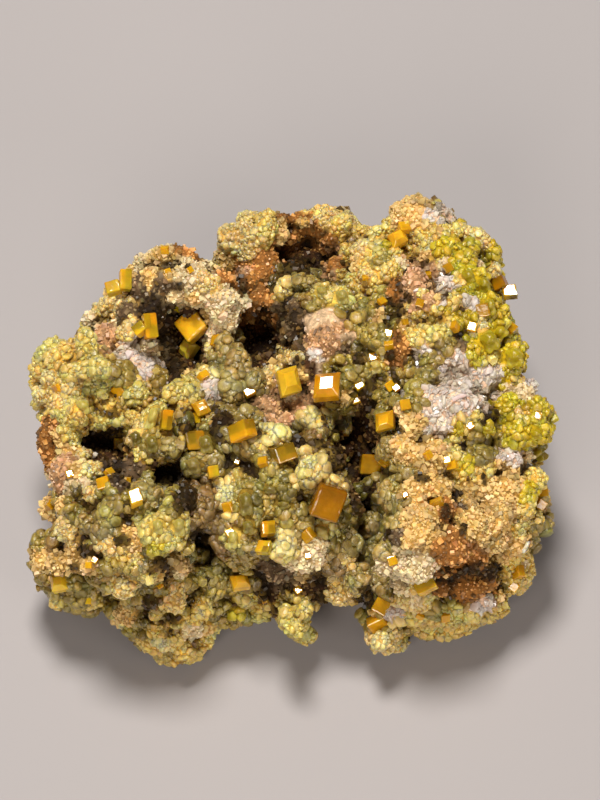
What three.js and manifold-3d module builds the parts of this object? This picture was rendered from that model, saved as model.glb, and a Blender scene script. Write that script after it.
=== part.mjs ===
// A pyromorphite specimen, about 53 mm across: a rusty matrix of limonite and quartz, full of pits,
// with knobs of green pyromorphite grown on it and blocky honey-coloured wulfenite crystals.
// Millimetres, +Z up. It lies on its flat back at z = 0, and its crystal side faces up and to the front.
//
// Places are given as they show in the front view, which looks down at the specimen: x to the right and
// y up the view, both in mm, and then the height above the table.
import * as THREE from "three";
import { ConvexGeometry } from "three/addons/geometries/ConvexGeometry.js";
import { ImprovedNoise } from "three/addons/math/ImprovedNoise.js";
import { mergeVertices } from "three/addons/utils/BufferGeometryUtils.js";
import Module from "manifold-3d";

const VIEW_ELEVATION = 60; // degrees, how steeply the front view looks down
const VIEW_DISTANCE = 350; // from the eye to the middle of the front view
const VIEW_MIDDLE = new THREE.Vector3(0.9, -0.4, 16.6); // that middle, from the centre of the base
const MATRIX_STEP = 2.4; // size of the facets on the matrix
const CLUSTER_STEP = 0.85; // size of the facets on the pyromorphite clusters
const SOCKET_GAP = 0.3; // clearance between a crystal and the socket it sits in
const LUMP_WELD = 1.6; // how softly two lumps of the matrix run into each other
const PIT_WELD = 0.8; // how softly a pit's rim is rounded
const REACH = new THREE.Vector3(32, 28, 32); // a box from minus this to this holds the whole matrix
const TABLE = { width: 200, height: 100 }; // a block standing on the table, larger than the specimen

// The knobs that cover the matrix: how far apart they are, how far they stand out, how sharp the
// creases between them are, how much of them is above the lumps' own surface, and the roughness.
const KNOBS = { spacing: 5.4, rise: 1.3, crease: 2.4, above: 0.6, roughness: 0.5 };

// The matrix: lumps, each [x, y, height, half width, half depth, half height].
const LEFT_LOBE = [
  [-20.8, 1.6, 17, 6.0, 6, 6],
  [-20.4, 5.8, 18.5, 2.3, 2.6, 3.6],
  [-16.0, 3.8, 17.5, 4.5, 3.6, 5],
  [-22.0, -4.5, 14, 3.7, 5, 6],
  [-20.6, -10.5, 15, 4.4, 5, 6.5],
  [-22.2, -16.4, 9, 4.3, 4.5, 6.5],
  [-16.5, -13, 17, 6.5, 6, 6.5],
  [-14, -19.5, 8, 4.8, 4.2, 7],
  [-12.0, -23.8, 4, 3.0, 2.8, 4.2],
  [-24.0, -18.6, 5, 2.3, 2.3, 4],
  [-14.5, -4, 17.5, 5.5, 6, 6],
];
const MIDDLE = [
  [-4, -7.5, 16.5, 6.3, 6.5, 6.8],
  [-2.6, -13.5, 13, 6.4, 5, 7],
  [-6.5, -18.6, 7, 4.4, 3.5, 6.2],
  [-0.6, -20.4, 8, 2.6, 3.0, 5],
  [-0.7, -21.8, 5, 2.2, 2.2, 4],
  [4.5, -17.4, 9, 2.7, 3.4, 5.4],
  [2, 6.8, 19.4, 4.6, 4.2, 5.6],
  [1.2, 1.4, 17.5, 5.2, 3.6, 5.6],
  [-7, 1.5, 15, 4, 4, 5.5],
];
const TOP_LEDGE = [
  [-12.9, 11.3, 20, 4.7, 4.2, 5.2],
  [-16.0, 8.9, 19.5, 3.0, 3.2, 4.2],
  [-7.6, 9.6, 19.5, 3.2, 3.5, 5],
];
const BACK_KNOBS = [
  [-3.9, 14.9, 16.5, 3.5, 3.5, 5],
  [-7.0, 14.1, 16, 2.1, 2.4, 4.6],
  [3.0, 15.7, 17, 3.4, 3.4, 4.6],
  [-1, 12, 11, 8, 6, 8],
  [7.6, 11.6, 18, 4.0, 4.4, 5.0],
  [4, 13.4, 12, 9, 5, 8],
];
const RIGHT_RIDGE = [
  [11.7, 16, 18, 4.2, 4.4, 5.8],
  [16.2, 12.9, 18, 4.0, 4.4, 5.4],
  [18.2, 8.2, 17.5, 3.6, 4, 5.6],
  [13, 6, 19.4, 7.2, 6.5, 6.4],
  [19.4, 4.2, 16.5, 2.8, 3, 4],
  [20.3, -2.5, 14, 4.6, 5, 6],
  [13.6, -4, 18.5, 7, 6.5, 7],
  [19, -8, 14, 4.4, 5, 6.5],
  [20.8, -11.8, 12, 4.6, 4.2, 6],
  [13, -14.5, 15, 6.5, 5.5, 7],
  [14, -19.2, 7, 6.8, 4.2, 6],
  [19.4, -16.9, 6, 3.8, 3.2, 5.2],
  [8.8, -22.4, 5, 2.6, 2.8, 4.6],
  [9.8, -9, 16, 3.0, 8, 6],
];
// The heart of the matrix, which the lumps grow round: its middle, half sizes and corner radius.
const HEART = { middle: [-0.8, 0, 8.5], half: [17, 10, 8], corner: 4 };

// The pits and clefts, each [x, y, height, half width, half height, half depth] as the eye looks in.
const PITS = [
  [-3.9, 6.6, 20, 2.5, 3.5, 9], // main hollow, rusty inside
  [-5.4, 12.6, 19, 3.0, 1.6, 5], // rusty trough behind it
  [0.4, 15.2, 21, 2.7, 2.6, 9], // back hollow
  [5.3, -2.2, 20, 1.7, 2.6, 8], // cleft between the middle and the right ridge
  [6.2, -6.4, 19, 1.9, 3.4, 9],
  [7.3, -11.6, 16, 1.6, 3.6, 8],
  [7.6, -16.4, 12, 1.1, 2.6, 5],
  [-19.5, -4.2, 20, 2.2, 1.9, 8], // left hollows
  [-13.3, -7.8, 20, 1.7, 1.8, 8],
  [-9.7, -14.6, 15, 1.4, 2.2, 7],
  [-11.8, 5.8, 21, 4.0, 2.8, 6], // recess under the top ledge
  [-2.9, -21.9, 4, 0.8, 2.0, 8], // gaps beside the hanging knob
  [2.4, -21.8, 5, 1.4, 2.2, 8],
  [15.8, -17.2, 17, 3, 1.0, 4], // crack in the rusty patch
  [16.5, -4.6, 24, 1.7, 1.2, 4], // small pits among the green beads
  [19, -1.5, 21, 1.5, 1.1, 4],
  [-15.6, -18.4, 14, 1.6, 1.0, 3],
  [7.2, 19.3, 13, 2.2, 3.7, 14], // notch in the back edge
  [-21.6, 11.0, 18, 1.8, 2.1, 9], // step beside the top ledge
];

// Pyromorphite clusters that stand proud: name, x, y, half size, number of knobs.
const CLUSTERS = [
  ["pyromorphite_cluster_right_point", 20.6, 3.4, 2.2, 7],
  ["pyromorphite_cluster_right_shoulder", 22.6, -2.0, 3.0, 12],
  ["pyromorphite_cluster_left_shoulder", -20.8, 3.6, 2.5, 10],
  ["pyromorphite_cluster_left_disc", -22.0, -1.0, 1.6, 5],
  ["pyromorphite_cluster_middle", 1.7, -7.2, 2.2, 9],
  ["pyromorphite_cluster_lime", -13.6, -13.0, 2.8, 10],
  ["pyromorphite_cluster_front_toe", 8.4, -23.6, 2.0, 6],
  ["pyromorphite_cluster_hanging", -0.6, -22.0, 1.7, 6],
];

// Wulfenite crystals: name, x, y, width, thickness, then the turn in degrees from facing the front
// view: tipped back, swung round and spun. Crystals of one name are grown together.
const WULFENITES = [
  ["wulfenite_amber_block", 3.0, -10.2, 2.7, 3.2, -25, 8, -22],
  ["wulfenite_ledge_large", -10.7, 7.4, 2.3, 2.3, 20, 12, 42],
  ["wulfenite_ledge_small", -11.2, 5.3, 1.5, 1.4, 20, -20, 40],
  ["wulfenite_ledge_pair", -16.1, 7.1, 1.2, 2.0, 20, -10, -38],
  ["wulfenite_ledge_pair", -15.1, 7.4, 2.1, 1.1, 8, 78, 0],
  ["wulfenite_top_left_pair", -17.5, 12.0, 1.8, 1.3, 8, 76, 0],
  ["wulfenite_top_left_pair", -18.6, 11.2, 1.3, 1.2, 10, -12, 20],
  ["wulfenite_middle_tilted", -5.7, -3.1, 2.1, 1.5, 32, -30, 24],
  ["wulfenite_middle_yellow", -0.9, 2.0, 1.7, 1.6, 15, 30, 40],
  ["wulfenite_middle_bright", 2.8, 1.4, 2.1, 2.0, 24, -34, 4],
  ["wulfenite_centre_small", -8.6, -7.2, 1.0, 0.9, 12, 10, 5],
  ["wulfenite_centre_olive", -1.6, -5.4, 1.7, 1.3, -20, 35, 30],
  ["wulfenite_cleft", 7.1, -6.5, 2.0, 3.2, 4, 4, -4],
  ["wulfenite_cleft_upper", 8.5, -2.1, 1.6, 1.4, 20, -25, 20],
  ["wulfenite_front_left", -3.1, -12.9, 1.2, 1.1, 20, 20, 8],
  ["wulfenite_front_low", -3.7, -14.8, 1.1, 1.0, 30, -24, -8],
  ["wulfenite_front_edge", -5.9, -18.3, 1.7, 1.2, 35, 20, 15],
  ["wulfenite_left_tall", -13.4, -2.0, 1.9, 1.0, 6, 78, 0],
  ["wulfenite_left_middle", -10.0, -1.0, 1.5, 1.5, 20, -15, 10],
  ["wulfenite_left_low", -10.5, -4.0, 1.6, 1.2, -10, 20, -5],
  ["wulfenite_left_bead", -16.5, -9.8, 1.3, 1.3, 30, 10, 30],
  ["wulfenite_left_foot", -24.4, -18.6, 1.4, 1.3, 20, -30, 20],
  ["wulfenite_right_edge", 24.3, -3.0, 1.4, 1.3, 20, 30, 20],
  ["wulfenite_right_top", 21.0, 10.8, 1.3, 1.2, 20, 10, 4],
  ["wulfenite_right_top", 20.0, 11.7, 1.3, 1.1, 30, -20, 30],
  ["wulfenite_right_upper", 9.8, 16.2, 1.6, 1.3, 25, 20, 30],
  ["wulfenite_right_lower", 12.6, -18.9, 1.7, 0.9, 20, -10, 28],
];

// How the knobs of a cluster are laid, in parts of its half size: the ball that holds them, the turn
// from one knob to the next, how far down the side the last one is, and their least and greatest size.
const CLUSTER = { ball: 0.62, turn: 2.4, last: -0.25, flat: 0.8, least: 0.34, greatest: 0.46, weld: 0.3 };
const CLUSTER_LIFT = 0.1; // how far a cluster's middle is above the matrix, in parts of its half size
const CRYSTAL_LIFT = 0.36; // how far a crystal's middle is above it, in parts of its thickness
const CRYSTAL_BEVEL = 0.09; // how far a crystal's edges are cut back, in parts of its width

const MATERIALS = {
  matrix: { color: 0x8a6a3e, roughness: 0.8, metalness: 0 },
  pyromorphite: { color: 0xa9b04a, roughness: 0.4, metalness: 0 },
  wulfenite: { color: 0xc98a12, roughness: 0.2, metalness: 0 },
};

const wasm = await Module();
wasm.setup();
const noise = new ImprovedNoise();
const tilt = THREE.MathUtils.degToRad(90 - VIEW_ELEVATION);
const viewTurn = new THREE.Matrix4().makeRotationX(tilt);
const viewTurnBack = new THREE.Quaternion().setFromRotationMatrix(viewTurn).invert();
const view = viewTurn.clone().setPosition(VIEW_MIDDLE);
const eye = new THREE.Vector3(0, 0, VIEW_DISTANCE).applyMatrix4(view);

// A run of numbers from 0 to 1 that is the same each time.
function dice(seed) {
  let state = Math.imul(seed, 2654435761);
  return () => {
    state = Math.imul(state, 1664525) + 1013904223;
    return (state >>> 0) / 4294967296;
  };
}

// A seed of its own for each cell of a grid, from three primes.
function cellSeed(i, j, k) {
  const far = 50;
  return (i + far) * 7919 + (j + far) * 104729 + (k + far) * 1299709;
}

// The direction from the eye to what shows at x, y in the front view.
function sightLine(x, y) {
  return new THREE.Vector3(x, y, 0).applyMatrix4(view).sub(eye).normalize();
}

// The point at a height above the table that shows at x, y in the front view.
function seenAt(x, y, height) {
  const line = sightLine(x, y);
  return line.clone().multiplyScalar((height - eye.z) / line.z).add(eye);
}

// A lump or a pit from a row of its list.
function lumpFrom([x, y, height, ...half]) {
  return { middle: seenAt(x, y, height), half: new THREE.Vector3(...half) };
}

const lumps = [LEFT_LOBE, MIDDLE, TOP_LEDGE, BACK_KNOBS, RIGHT_RIDGE].flat().map(lumpFrom);
const pits = PITS.map(lumpFrom);

// Roughly how far a point is outside a lump, and below zero inside it.
function lumpField(lump, point) {
  const away = point.clone().sub(lump.middle).divide(lump.half).length();
  return (away - 1) * Math.min(lump.half.x, lump.half.y, lump.half.z);
}

// The same for a pit, whose depth runs along the line of sight.
function pitField(pit, point) {
  const away = point.clone().sub(pit.middle).applyQuaternion(viewTurnBack).divide(pit.half).length();
  return (away - 1) * Math.min(pit.half.x, pit.half.y, pit.half.z);
}

// The same for the heart, a box with rounded corners.
function heartField(point) {
  const far = [0, 1, 2].map((i) => Math.abs(point.getComponent(i) - HEART.middle[i]) - HEART.half[i]);
  const outside = Math.hypot(...far.map((distance) => Math.max(distance, 0)));
  return outside + Math.min(Math.max(...far), 0) - HEART.corner;
}

// The lesser of two fields, with a soft fillet where they meet.
function welded(a, b, softness) {
  const share = Math.max(softness - Math.abs(a - b), 0) / softness;
  return Math.min(a, b) - (share * share * softness) / 4;
}

// How far the knobs and the roughness lower the surface at a point: a knob has its top at each of a
// scatter of points, one in each cell of a grid, and a crease halfway to the next.
function relief(point) {
  const { x, y, z } = point.clone().divideScalar(KNOBS.spacing);
  let nearest = Infinity;
  for (let i = Math.floor(x) - 1; i <= Math.floor(x) + 1; i++)
    for (let j = Math.floor(y) - 1; j <= Math.floor(y) + 1; j++)
      for (let k = Math.floor(z) - 1; k <= Math.floor(z) + 1; k++) {
        const roll = dice(cellSeed(i, j, k));
        nearest = Math.min(nearest, Math.hypot(i + roll() - x, j + roll() - y, k + roll() - z));
      }
  const knobs = KNOBS.rise * (KNOBS.crease * nearest * nearest - KNOBS.above);
  return knobs + KNOBS.roughness * noise.noise(2 * x, 2 * y, 2 * z);
}

// Roughly how far a point is outside the matrix, and below zero inside it.
function matrixField(point) {
  let field = heartField(point);
  for (const lump of lumps) field = welded(field, lumpField(lump, point), LUMP_WELD);
  const depth = Math.abs(field) / (2 * KNOBS.rise);
  if (depth < 1) field += (1 - depth * depth) * relief(point);
  for (const pit of pits) field = -welded(-field, pitField(pit, point), PIT_WELD);
  return field;
}

// The closed surface where a field is zero, between two corners of a box, in facets of about one step.
// Each cell of the grid that the surface crosses holds one vertex, at the middle of the crossings.
function skinOf(field, low, high, step) {
  const grid = gridOf(field, low, high, step);
  fillCorners(grid, -0.05 * step);
  const positions = [];
  const vertexOf = new Map();
  grid.each(1, (i, j, k, n) => {
    const crossings = crossingsOf(grid, new THREE.Vector3(i, j, k), n);
    if (!crossings.length) return;
    const middle = new THREE.Vector3();
    for (const crossing of crossings) middle.addScaledVector(crossing, 1 / crossings.length);
    vertexOf.set(n, positions.length / 3);
    positions.push(...settled(field, middle.multiplyScalar(step).add(low), step).toArray());
  });

  const faces = [];
  const apart = (a, b) =>
    Math.hypot(...[0, 1, 2].map((i) => positions[3 * a + i] - positions[3 * b + i]));
  grid.each(1, (i, j, k, n) => {
    for (let axis = 0; axis < 3; axis++) {
      const inside = grid.values[n] < 0;
      if (inside === grid.values[n + grid.stride[axis]] < 0) continue;
      const u = grid.stride[(axis + 1) % 3];
      const v = grid.stride[(axis + 2) % 3];
      const ring = [n, n - u, n - u - v, n - v].map((cell) => vertexOf.get(cell));
      if (!inside) ring.reverse();
      const [a, b, c, d] = ring;
      if (apart(a, c) < apart(b, d)) faces.push(a, b, c, a, c, d);
      else faces.push(a, b, d, b, c, d);
    }
  });
  const geometry = new THREE.BufferGeometry();
  geometry.setAttribute("position", new THREE.Float32BufferAttribute(positions, 3));
  geometry.setIndex(faces);
  return geometry;
}

// A field's values on a grid, the step in the list from a value to the next along each axis, and a
// function that visits each grid point except the last few along each axis.
function gridOf(field, low, high, step) {
  const [wide, deep, tall] = high.clone().sub(low).divideScalar(step).ceil().addScalar(1).toArray();
  const stride = [1, wide, wide * deep];
  const values = new Float32Array(wide * deep * tall);
  const each = (last, visit) => {
    for (let k = 0; k < tall - last; k++)
      for (let j = 0; j < deep - last; j++)
        for (let i = 0; i < wide - last; i++) visit(i, j, k, i + j * stride[1] + k * stride[2]);
  };
  each(0, (i, j, k, n) => {
    values[n] = field(new THREE.Vector3(i, j, k).multiplyScalar(step).add(low));
  });
  return { values, stride, each };
}

// The eight corners of a cell, each as 0 or 1 along each axis.
const CELL_CORNERS = [0, 1, 2, 3, 4, 5, 6, 7].map((c) => [c & 1, (c >> 1) & 1, (c >> 2) & 1]);

function cornerIndex(grid, n, corner) {
  return n + corner[0] * grid.stride[0] + corner[1] * grid.stride[1] + corner[2] * grid.stride[2];
}

// Where the surface crosses the edges of a cell, in grid steps.
function crossingsOf(grid, cell, n) {
  const crossings = [];
  for (const from of CELL_CORNERS)
    for (let axis = 0; axis < 3; axis++) {
      if (from[axis]) continue;
      const start = cornerIndex(grid, n, from);
      const a = grid.values[start];
      const b = grid.values[start + grid.stride[axis]];
      if (a < 0 === b < 0) continue;
      const crossing = cell.clone().add(new THREE.Vector3(...from));
      crossings.push(crossing.setComponent(axis, crossing.getComponent(axis) + a / (a - b)));
    }
  return crossings;
}

// Fills grid points where two parts of the inside meet only at an edge or a corner of a cell, because
// the surface would touch itself there.
function fillCorners(grid, filled) {
  const { values, stride } = grid;
  let changed = true;
  while (changed) {
    changed = false;
    grid.each(1, (i, j, k, n) => {
      for (let axis = 0; axis < 3; axis++) {
        const u = stride[axis];
        const v = stride[(axis + 1) % 3];
        const ring = [n, n + u, n + u + v, n + v];
        const inside = ring.map((m) => values[m] < 0);
        if (inside[0] !== inside[2] || inside[1] !== inside[3] || inside[0] === inside[1]) continue;
        values[inside[0] ? ring[1] : ring[0]] = filled;
        changed = true;
      }
      const all = CELL_CORNERS.map((corner) => cornerIndex(grid, n, corner));
      const count = all.filter((m) => values[m] < 0).length;
      for (let c = 0; c < 4; c++) {
        const ends = [values[all[c]] < 0, values[all[7 - c]] < 0];
        if (count === 2 && ends[0] && ends[1]) {
          values[all[c ^ 1]] = filled;
          values[all[c ^ 2]] = filled;
          changed = true;
        }
        if (count === 6 && !ends[0] && !ends[1]) {
          values[all[c]] = filled;
          changed = true;
        }
      }
    });
  }
}

// How a field rises at a point, measured over a short reach.
function slopeAt(field, point, reach) {
  const rises = [0, 1, 2].map((i) => {
    const ahead = point.clone().setComponent(i, point.getComponent(i) + reach);
    const behind = point.clone().setComponent(i, point.getComponent(i) - reach);
    return (field(ahead) - field(behind)) / (2 * reach);
  });
  return new THREE.Vector3(...rises);
}

// A vertex moved straight onto the zero of a field, or at most a quarter of a step towards it.
function settled(field, vertex, step) {
  const slope = slopeAt(field, vertex, step / 8);
  const way = -field(vertex) / Math.max(slope.lengthSq(), 0.1);
  return vertex.clone().add(slope.multiplyScalar(way).clampLength(0, step / 4));
}

// A closed geometry as a solid that can be joined and cut, and a solid as a geometry.
function solidOf(geometry) {
  const bare = geometry.clone();
  bare.deleteAttribute("normal");
  bare.deleteAttribute("uv");
  const { attributes, index } = mergeVertices(bare, 1e-4);
  const vertProperties = attributes.position.array;
  return new wasm.Manifold(new wasm.Mesh({ numProp: 3, vertProperties, triVerts: index.array }));
}

function geometryOf(solid) {
  const mesh = solid.getMesh();
  const geometry = new THREE.BufferGeometry();
  geometry.setAttribute("position", new THREE.BufferAttribute(mesh.vertProperties, 3));
  geometry.setIndex(new THREE.BufferAttribute(mesh.triVerts, 1));
  geometry.computeVertexNormals();
  return geometry;
}

// Everything above the table, which the specimen's flat back lies on.
function aboveTable() {
  const block = new THREE.BoxGeometry(TABLE.width, TABLE.width, TABLE.height);
  return solidOf(block.translate(0, 0, TABLE.height / 2));
}

// The first point of the matrix that the eye meets at x, y in the front view, or where it misses the
// matrix, the point where it comes closest.
function surfaceAt(x, y) {
  const line = sightLine(x, y);
  let closest = Infinity;
  let found = eye;
  for (let away = VIEW_DISTANCE - REACH.x; away < VIEW_DISTANCE + REACH.x; away += 0.05) {
    const point = line.clone().multiplyScalar(away).add(eye);
    const field = matrixField(point);
    if (field < closest) {
      closest = field;
      found = point;
    }
    if (field < 0) break;
  }
  return found;
}

// The knobs of a cluster round its own middle: one ball at the heart and others wound round it, from
// the top down its sides.
function knobsOf(half, count, seed) {
  const roll = dice(seed);
  const knobs = [{ middle: new THREE.Vector3(), radius: half * CLUSTER.ball }];
  for (let i = 1; i < count; i++) {
    const lift = THREE.MathUtils.lerp(1, CLUSTER.last, i / count);
    const middle = new THREE.Vector3(Math.sqrt(1 - lift * lift), 0, lift * CLUSTER.flat);
    middle.applyAxisAngle(new THREE.Vector3(0, 0, 1), i * CLUSTER.turn).multiplyScalar(half * CLUSTER.ball);
    const radius = half * THREE.MathUtils.lerp(CLUSTER.least, CLUSTER.greatest, roll());
    knobs.push({ middle, radius });
  }
  return knobs;
}

function clusterGeometry(half, count, seed, growth) {
  const knobs = knobsOf(half, count, seed);
  const field = (point) => {
    const away = knobs.map((knob) => point.distanceTo(knob.middle) - knob.radius);
    return away.reduce((a, b) => welded(a, b, CLUSTER.weld)) - growth;
  };
  const reach = new THREE.Vector3(1, 1, 1).multiplyScalar(half * 1.2 + 2 * CLUSTER_STEP);
  return skinOf(field, reach.clone().negate(), reach, CLUSTER_STEP);
}

// A thick square plate with its edges cut back, as wulfenite grows.
function wulfeniteGeometry(width, thickness, growth) {
  const half = width / 2 + growth;
  const rise = thickness / 2 + growth;
  const bevel = width * CRYSTAL_BEVEL;
  const points = [];
  for (const x of [-1, 1])
    for (const y of [-1, 1])
      for (const z of [-1, 1]) {
        points.push(new THREE.Vector3(x * half, y * (half - bevel), z * (rise - bevel)));
        points.push(new THREE.Vector3(x * (half - bevel), y * half, z * (rise - bevel)));
        points.push(new THREE.Vector3(x * (half - bevel), y * (half - bevel), z * rise));
      }
  return new ConvexGeometry(points);
}

function meshOf(name, geometry, kind) {
  const mesh = new THREE.Mesh(geometry, new THREE.MeshStandardMaterial(MATERIALS[kind]));
  mesh.name = name;
  return mesh;
}

// Where a cluster stands: on the matrix with half of it sunk in, its knobs towards the way out.
function clusterPlace(x, y, half) {
  const foot = surfaceAt(x, y);
  const out = slopeAt(matrixField, foot, 0.6).normalize();
  const turn = new THREE.Quaternion().setFromUnitVectors(new THREE.Vector3(0, 0, 1), out);
  const size = new THREE.Vector3(1, 1, 1);
  return new THREE.Matrix4().compose(foot.addScaledVector(out, half * CLUSTER_LIFT), turn, size);
}

// Where a crystal sits: turned against the front view, with its lower part sunk in the matrix. Later
// crystals of the same name sit beside the first, as far from the eye as it is.
const firstCrystals = new Map();
function wulfenitePlace(name, x, y, thickness, [tipped, swung, spun]) {
  if (!firstCrystals.has(name)) {
    const middle = surfaceAt(x, y).addScaledVector(sightLine(x, y), -thickness * CRYSTAL_LIFT);
    firstCrystals.set(name, { x, y, middle });
  }
  const first = firstCrystals.get(name);
  const middle = new THREE.Vector3(x - first.x, y - first.y, 0).applyMatrix4(viewTurn).add(first.middle);
  const turn = new THREE.Euler(...[-tipped, swung, spun].map(THREE.MathUtils.degToRad));
  return new THREE.Matrix4().makeRotationFromEuler(turn).premultiply(viewTurn).setPosition(middle);
}

const crystals = new Map();
const crystalSockets = [];
for (const [name, x, y, width, thickness, ...turns] of WULFENITES) {
  const place = wulfenitePlace(name, x, y, thickness, turns);
  const crystal = solidOf(wulfeniteGeometry(width, thickness, 0).applyMatrix4(place));
  crystals.set(name, crystals.has(name) ? crystals.get(name).add(crystal) : crystal);
  crystalSockets.push(solidOf(wulfeniteGeometry(width, thickness, SOCKET_GAP).applyMatrix4(place)));
}

// The crystals grew through the clusters, so their sockets are cut into those too.
const clusters = [];
const clusterSockets = [];
CLUSTERS.forEach(([name, x, y, half, count], i) => {
  const place = clusterPlace(x, y, half);
  let cluster = solidOf(clusterGeometry(half, count, i + 1, 0).applyMatrix4(place));
  for (const socket of crystalSockets) cluster = cluster.subtract(socket);
  clusters.push(meshOf(name, geometryOf(cluster), "pyromorphite"));
  clusterSockets.push(solidOf(clusterGeometry(half, count, i + 1, SOCKET_GAP).applyMatrix4(place)));
});

let matrix = solidOf(skinOf(matrixField, REACH.clone().negate(), REACH, MATRIX_STEP));
matrix = matrix.intersect(aboveTable());
for (const socket of [...crystalSockets, ...clusterSockets]) matrix = matrix.subtract(socket);

const specimen = new THREE.Group();
specimen.add(meshOf("limonite_quartz_matrix", geometryOf(matrix), "matrix"), ...clusters);
for (const [name, crystal] of crystals) specimen.add(meshOf(name, geometryOf(crystal), "wulfenite"));

export default specimen;
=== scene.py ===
import math

import bpy
import numpy as np
from mathutils import Matrix, Vector
from mathutils.bvhtree import BVHTree


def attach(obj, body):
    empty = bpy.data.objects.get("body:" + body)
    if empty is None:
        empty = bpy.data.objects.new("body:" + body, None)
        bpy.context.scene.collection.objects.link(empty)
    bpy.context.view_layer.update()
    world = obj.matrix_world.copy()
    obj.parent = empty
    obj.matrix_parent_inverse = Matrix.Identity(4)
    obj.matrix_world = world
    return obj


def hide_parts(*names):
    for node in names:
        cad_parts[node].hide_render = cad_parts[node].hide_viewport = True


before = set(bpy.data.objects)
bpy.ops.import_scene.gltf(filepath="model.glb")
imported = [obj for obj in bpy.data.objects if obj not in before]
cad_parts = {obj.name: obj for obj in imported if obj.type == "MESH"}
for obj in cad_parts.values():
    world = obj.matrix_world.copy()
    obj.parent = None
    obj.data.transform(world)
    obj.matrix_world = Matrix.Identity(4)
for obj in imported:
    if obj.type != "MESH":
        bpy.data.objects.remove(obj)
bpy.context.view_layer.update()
mm = 0.001

# The front view looks down on the specimen. Places in it are x to the right and y up, in mm.
frontView = {
    "elevation": 60,  # degrees above the table
    "distance": 350 * mm,
    "middle": Vector((0.9, -0.4, 16.6)) * mm,
    "lens": 157.5,
}
viewTurn = Matrix.Rotation(math.radians(90 - frontView["elevation"]), 3, "X")
viewRight, viewUp, viewOut = [np.array(viewTurn.col[i]) for i in range(3)]
eye = frontView["middle"] + viewTurn.col[2] * frontView["distance"]

# The studio: colour of the table, light from all round, and lamps with the way to each from the specimen.
studio = {
    "table": (0.40, 0.37, 0.365),
    "air": {"colour": (0.8, 0.8, 0.82), "strength": 0.06},
    "key": {
        "way": (-0.08, 0.16, 0.97), "distance": 0.45,
        "size": 0.12, "power": 2.2, "colour": (1, 0.97, 0.93),
    },
    "front": {
        "way": (-0.25, -0.8, 0.6), "distance": 0.6,
        "size": 0.3, "power": 1.56, "colour": (1, 0.93, 0.86),
    },
    "side": {
        "way": (0.75, -0.6, 0.3), "distance": 0.7,
        "size": 0.3, "power": 1.2, "colour": (1, 0.95, 0.9),
    },
}

crystalNodes = [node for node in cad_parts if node.startswith("wulfenite")]
clusterNodes = [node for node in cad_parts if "cluster" in node]
bodyNodes = ["limonite_quartz_matrix"] + clusterNodes


def addCamera():
    data = bpy.data.cameras.new("frontCamera")
    data.lens = frontView["lens"]
    data.clip_start = 0.01
    camera = bpy.data.objects.new("frontCamera", data)
    bpy.context.collection.objects.link(camera)
    camera.matrix_world = Matrix.Translation(eye) @ viewTurn.to_4x4()
    bpy.context.scene.camera = camera


addCamera()
print("camera")


# Where points show in the front view, in mm.
def placeInView(points):
    away = (points - np.array(eye)) @ np.array(viewTurn)
    return away[:, :2] * (frontView["distance"] / -away[:, 2:]) / mm


def selectOnly(*objs):
    bpy.ops.object.select_all(action="DESELECT")
    for obj in objs:
        obj.select_set(True)
    bpy.context.view_layer.objects.active = objs[0]


def applyModifier(obj, kind, **settings):
    selectOnly(obj)
    modifier = obj.modifiers.new(kind.lower(), kind)
    for name, value in settings.items():
        setattr(modifier, name, value)
    bpy.ops.object.modifier_apply(modifier=modifier.name)


def remesh(obj, size):
    applyModifier(obj, "REMESH", mode="VOXEL", voxel_size=size)


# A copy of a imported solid, its loose triangles merged.
def copyOfNode(node, name):
    obj = bpy.data.objects.new(name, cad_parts[node].data.copy())
    bpy.context.collection.objects.link(obj)
    obj.data.materials.clear()
    selectOnly(obj)
    bpy.ops.object.mode_set(mode="EDIT")
    bpy.ops.mesh.select_all(action="SELECT")
    bpy.ops.mesh.remove_doubles(threshold=0.002 * mm)
    bpy.ops.object.mode_set(mode="OBJECT")
    return obj


def joined(objs):
    selectOnly(*objs)
    bpy.ops.object.join()
    return objs[0]


# The places of a mesh's vertices, or their normals.
def pointsOf(mesh, key="co"):
    values = np.empty(len(mesh.vertices) * 3)
    mesh.vertices.foreach_get(key, values)
    return values.reshape(-1, 3)


def trianglesOf(mesh):
    mesh.calc_loop_triangles()
    tris = np.empty(len(mesh.loop_triangles) * 3, dtype=np.int64)
    mesh.loop_triangles.foreach_get("vertices", tris)
    return tris.reshape(-1, 3)


def unit(ways):
    return ways / np.linalg.norm(ways, axis=-1, keepdims=True)


def setColours(mesh, colours):
    layer = mesh.color_attributes.new("tint", "FLOAT_COLOR", "POINT")
    full = np.ones((len(colours), 4))
    full[:, :3] = colours
    layer.data.foreach_set("color", full.ravel())


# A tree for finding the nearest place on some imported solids.
def treeOf(nodes):
    points, faces = [], []
    for node in nodes:
        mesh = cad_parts[node].data
        start = len(points)
        points.extend(v.co.copy() for v in mesh.vertices)
        faces.extend([start + i for i in p.vertices] for p in mesh.polygons)
    return BVHTree.FromPolygons(points, faces)


bodyTree = treeOf(bodyNodes)
crystalTree = treeOf(crystalNodes)


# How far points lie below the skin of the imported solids, in mm.
def depthBelowSkin(points):
    depthShade = np.empty(len(points))
    for i, point in enumerate(points):
        near, normal, _, distance = bodyTree.find_nearest(Vector(point))
        depthShade[i] = distance if (Vector(point) - near).dot(normal) < 0 else -distance
    return depthShade / mm


# The place on a tree's faces that shows at a point of the front view, or else the nearest one to it.
def placeOn(tree, x, y):
    way = (Vector(viewRight) * x + Vector(viewUp) * y) * mm - Vector(viewOut) * frontView["distance"]
    hit = tree.ray_cast(eye, way.normalized())[0]
    if hit is None:
        near = eye + way if tree is bodyTree else Vector(placeOn(bodyTree, x, y))
        hit = tree.find_nearest(near)[0]
    return np.array(hit)


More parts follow.
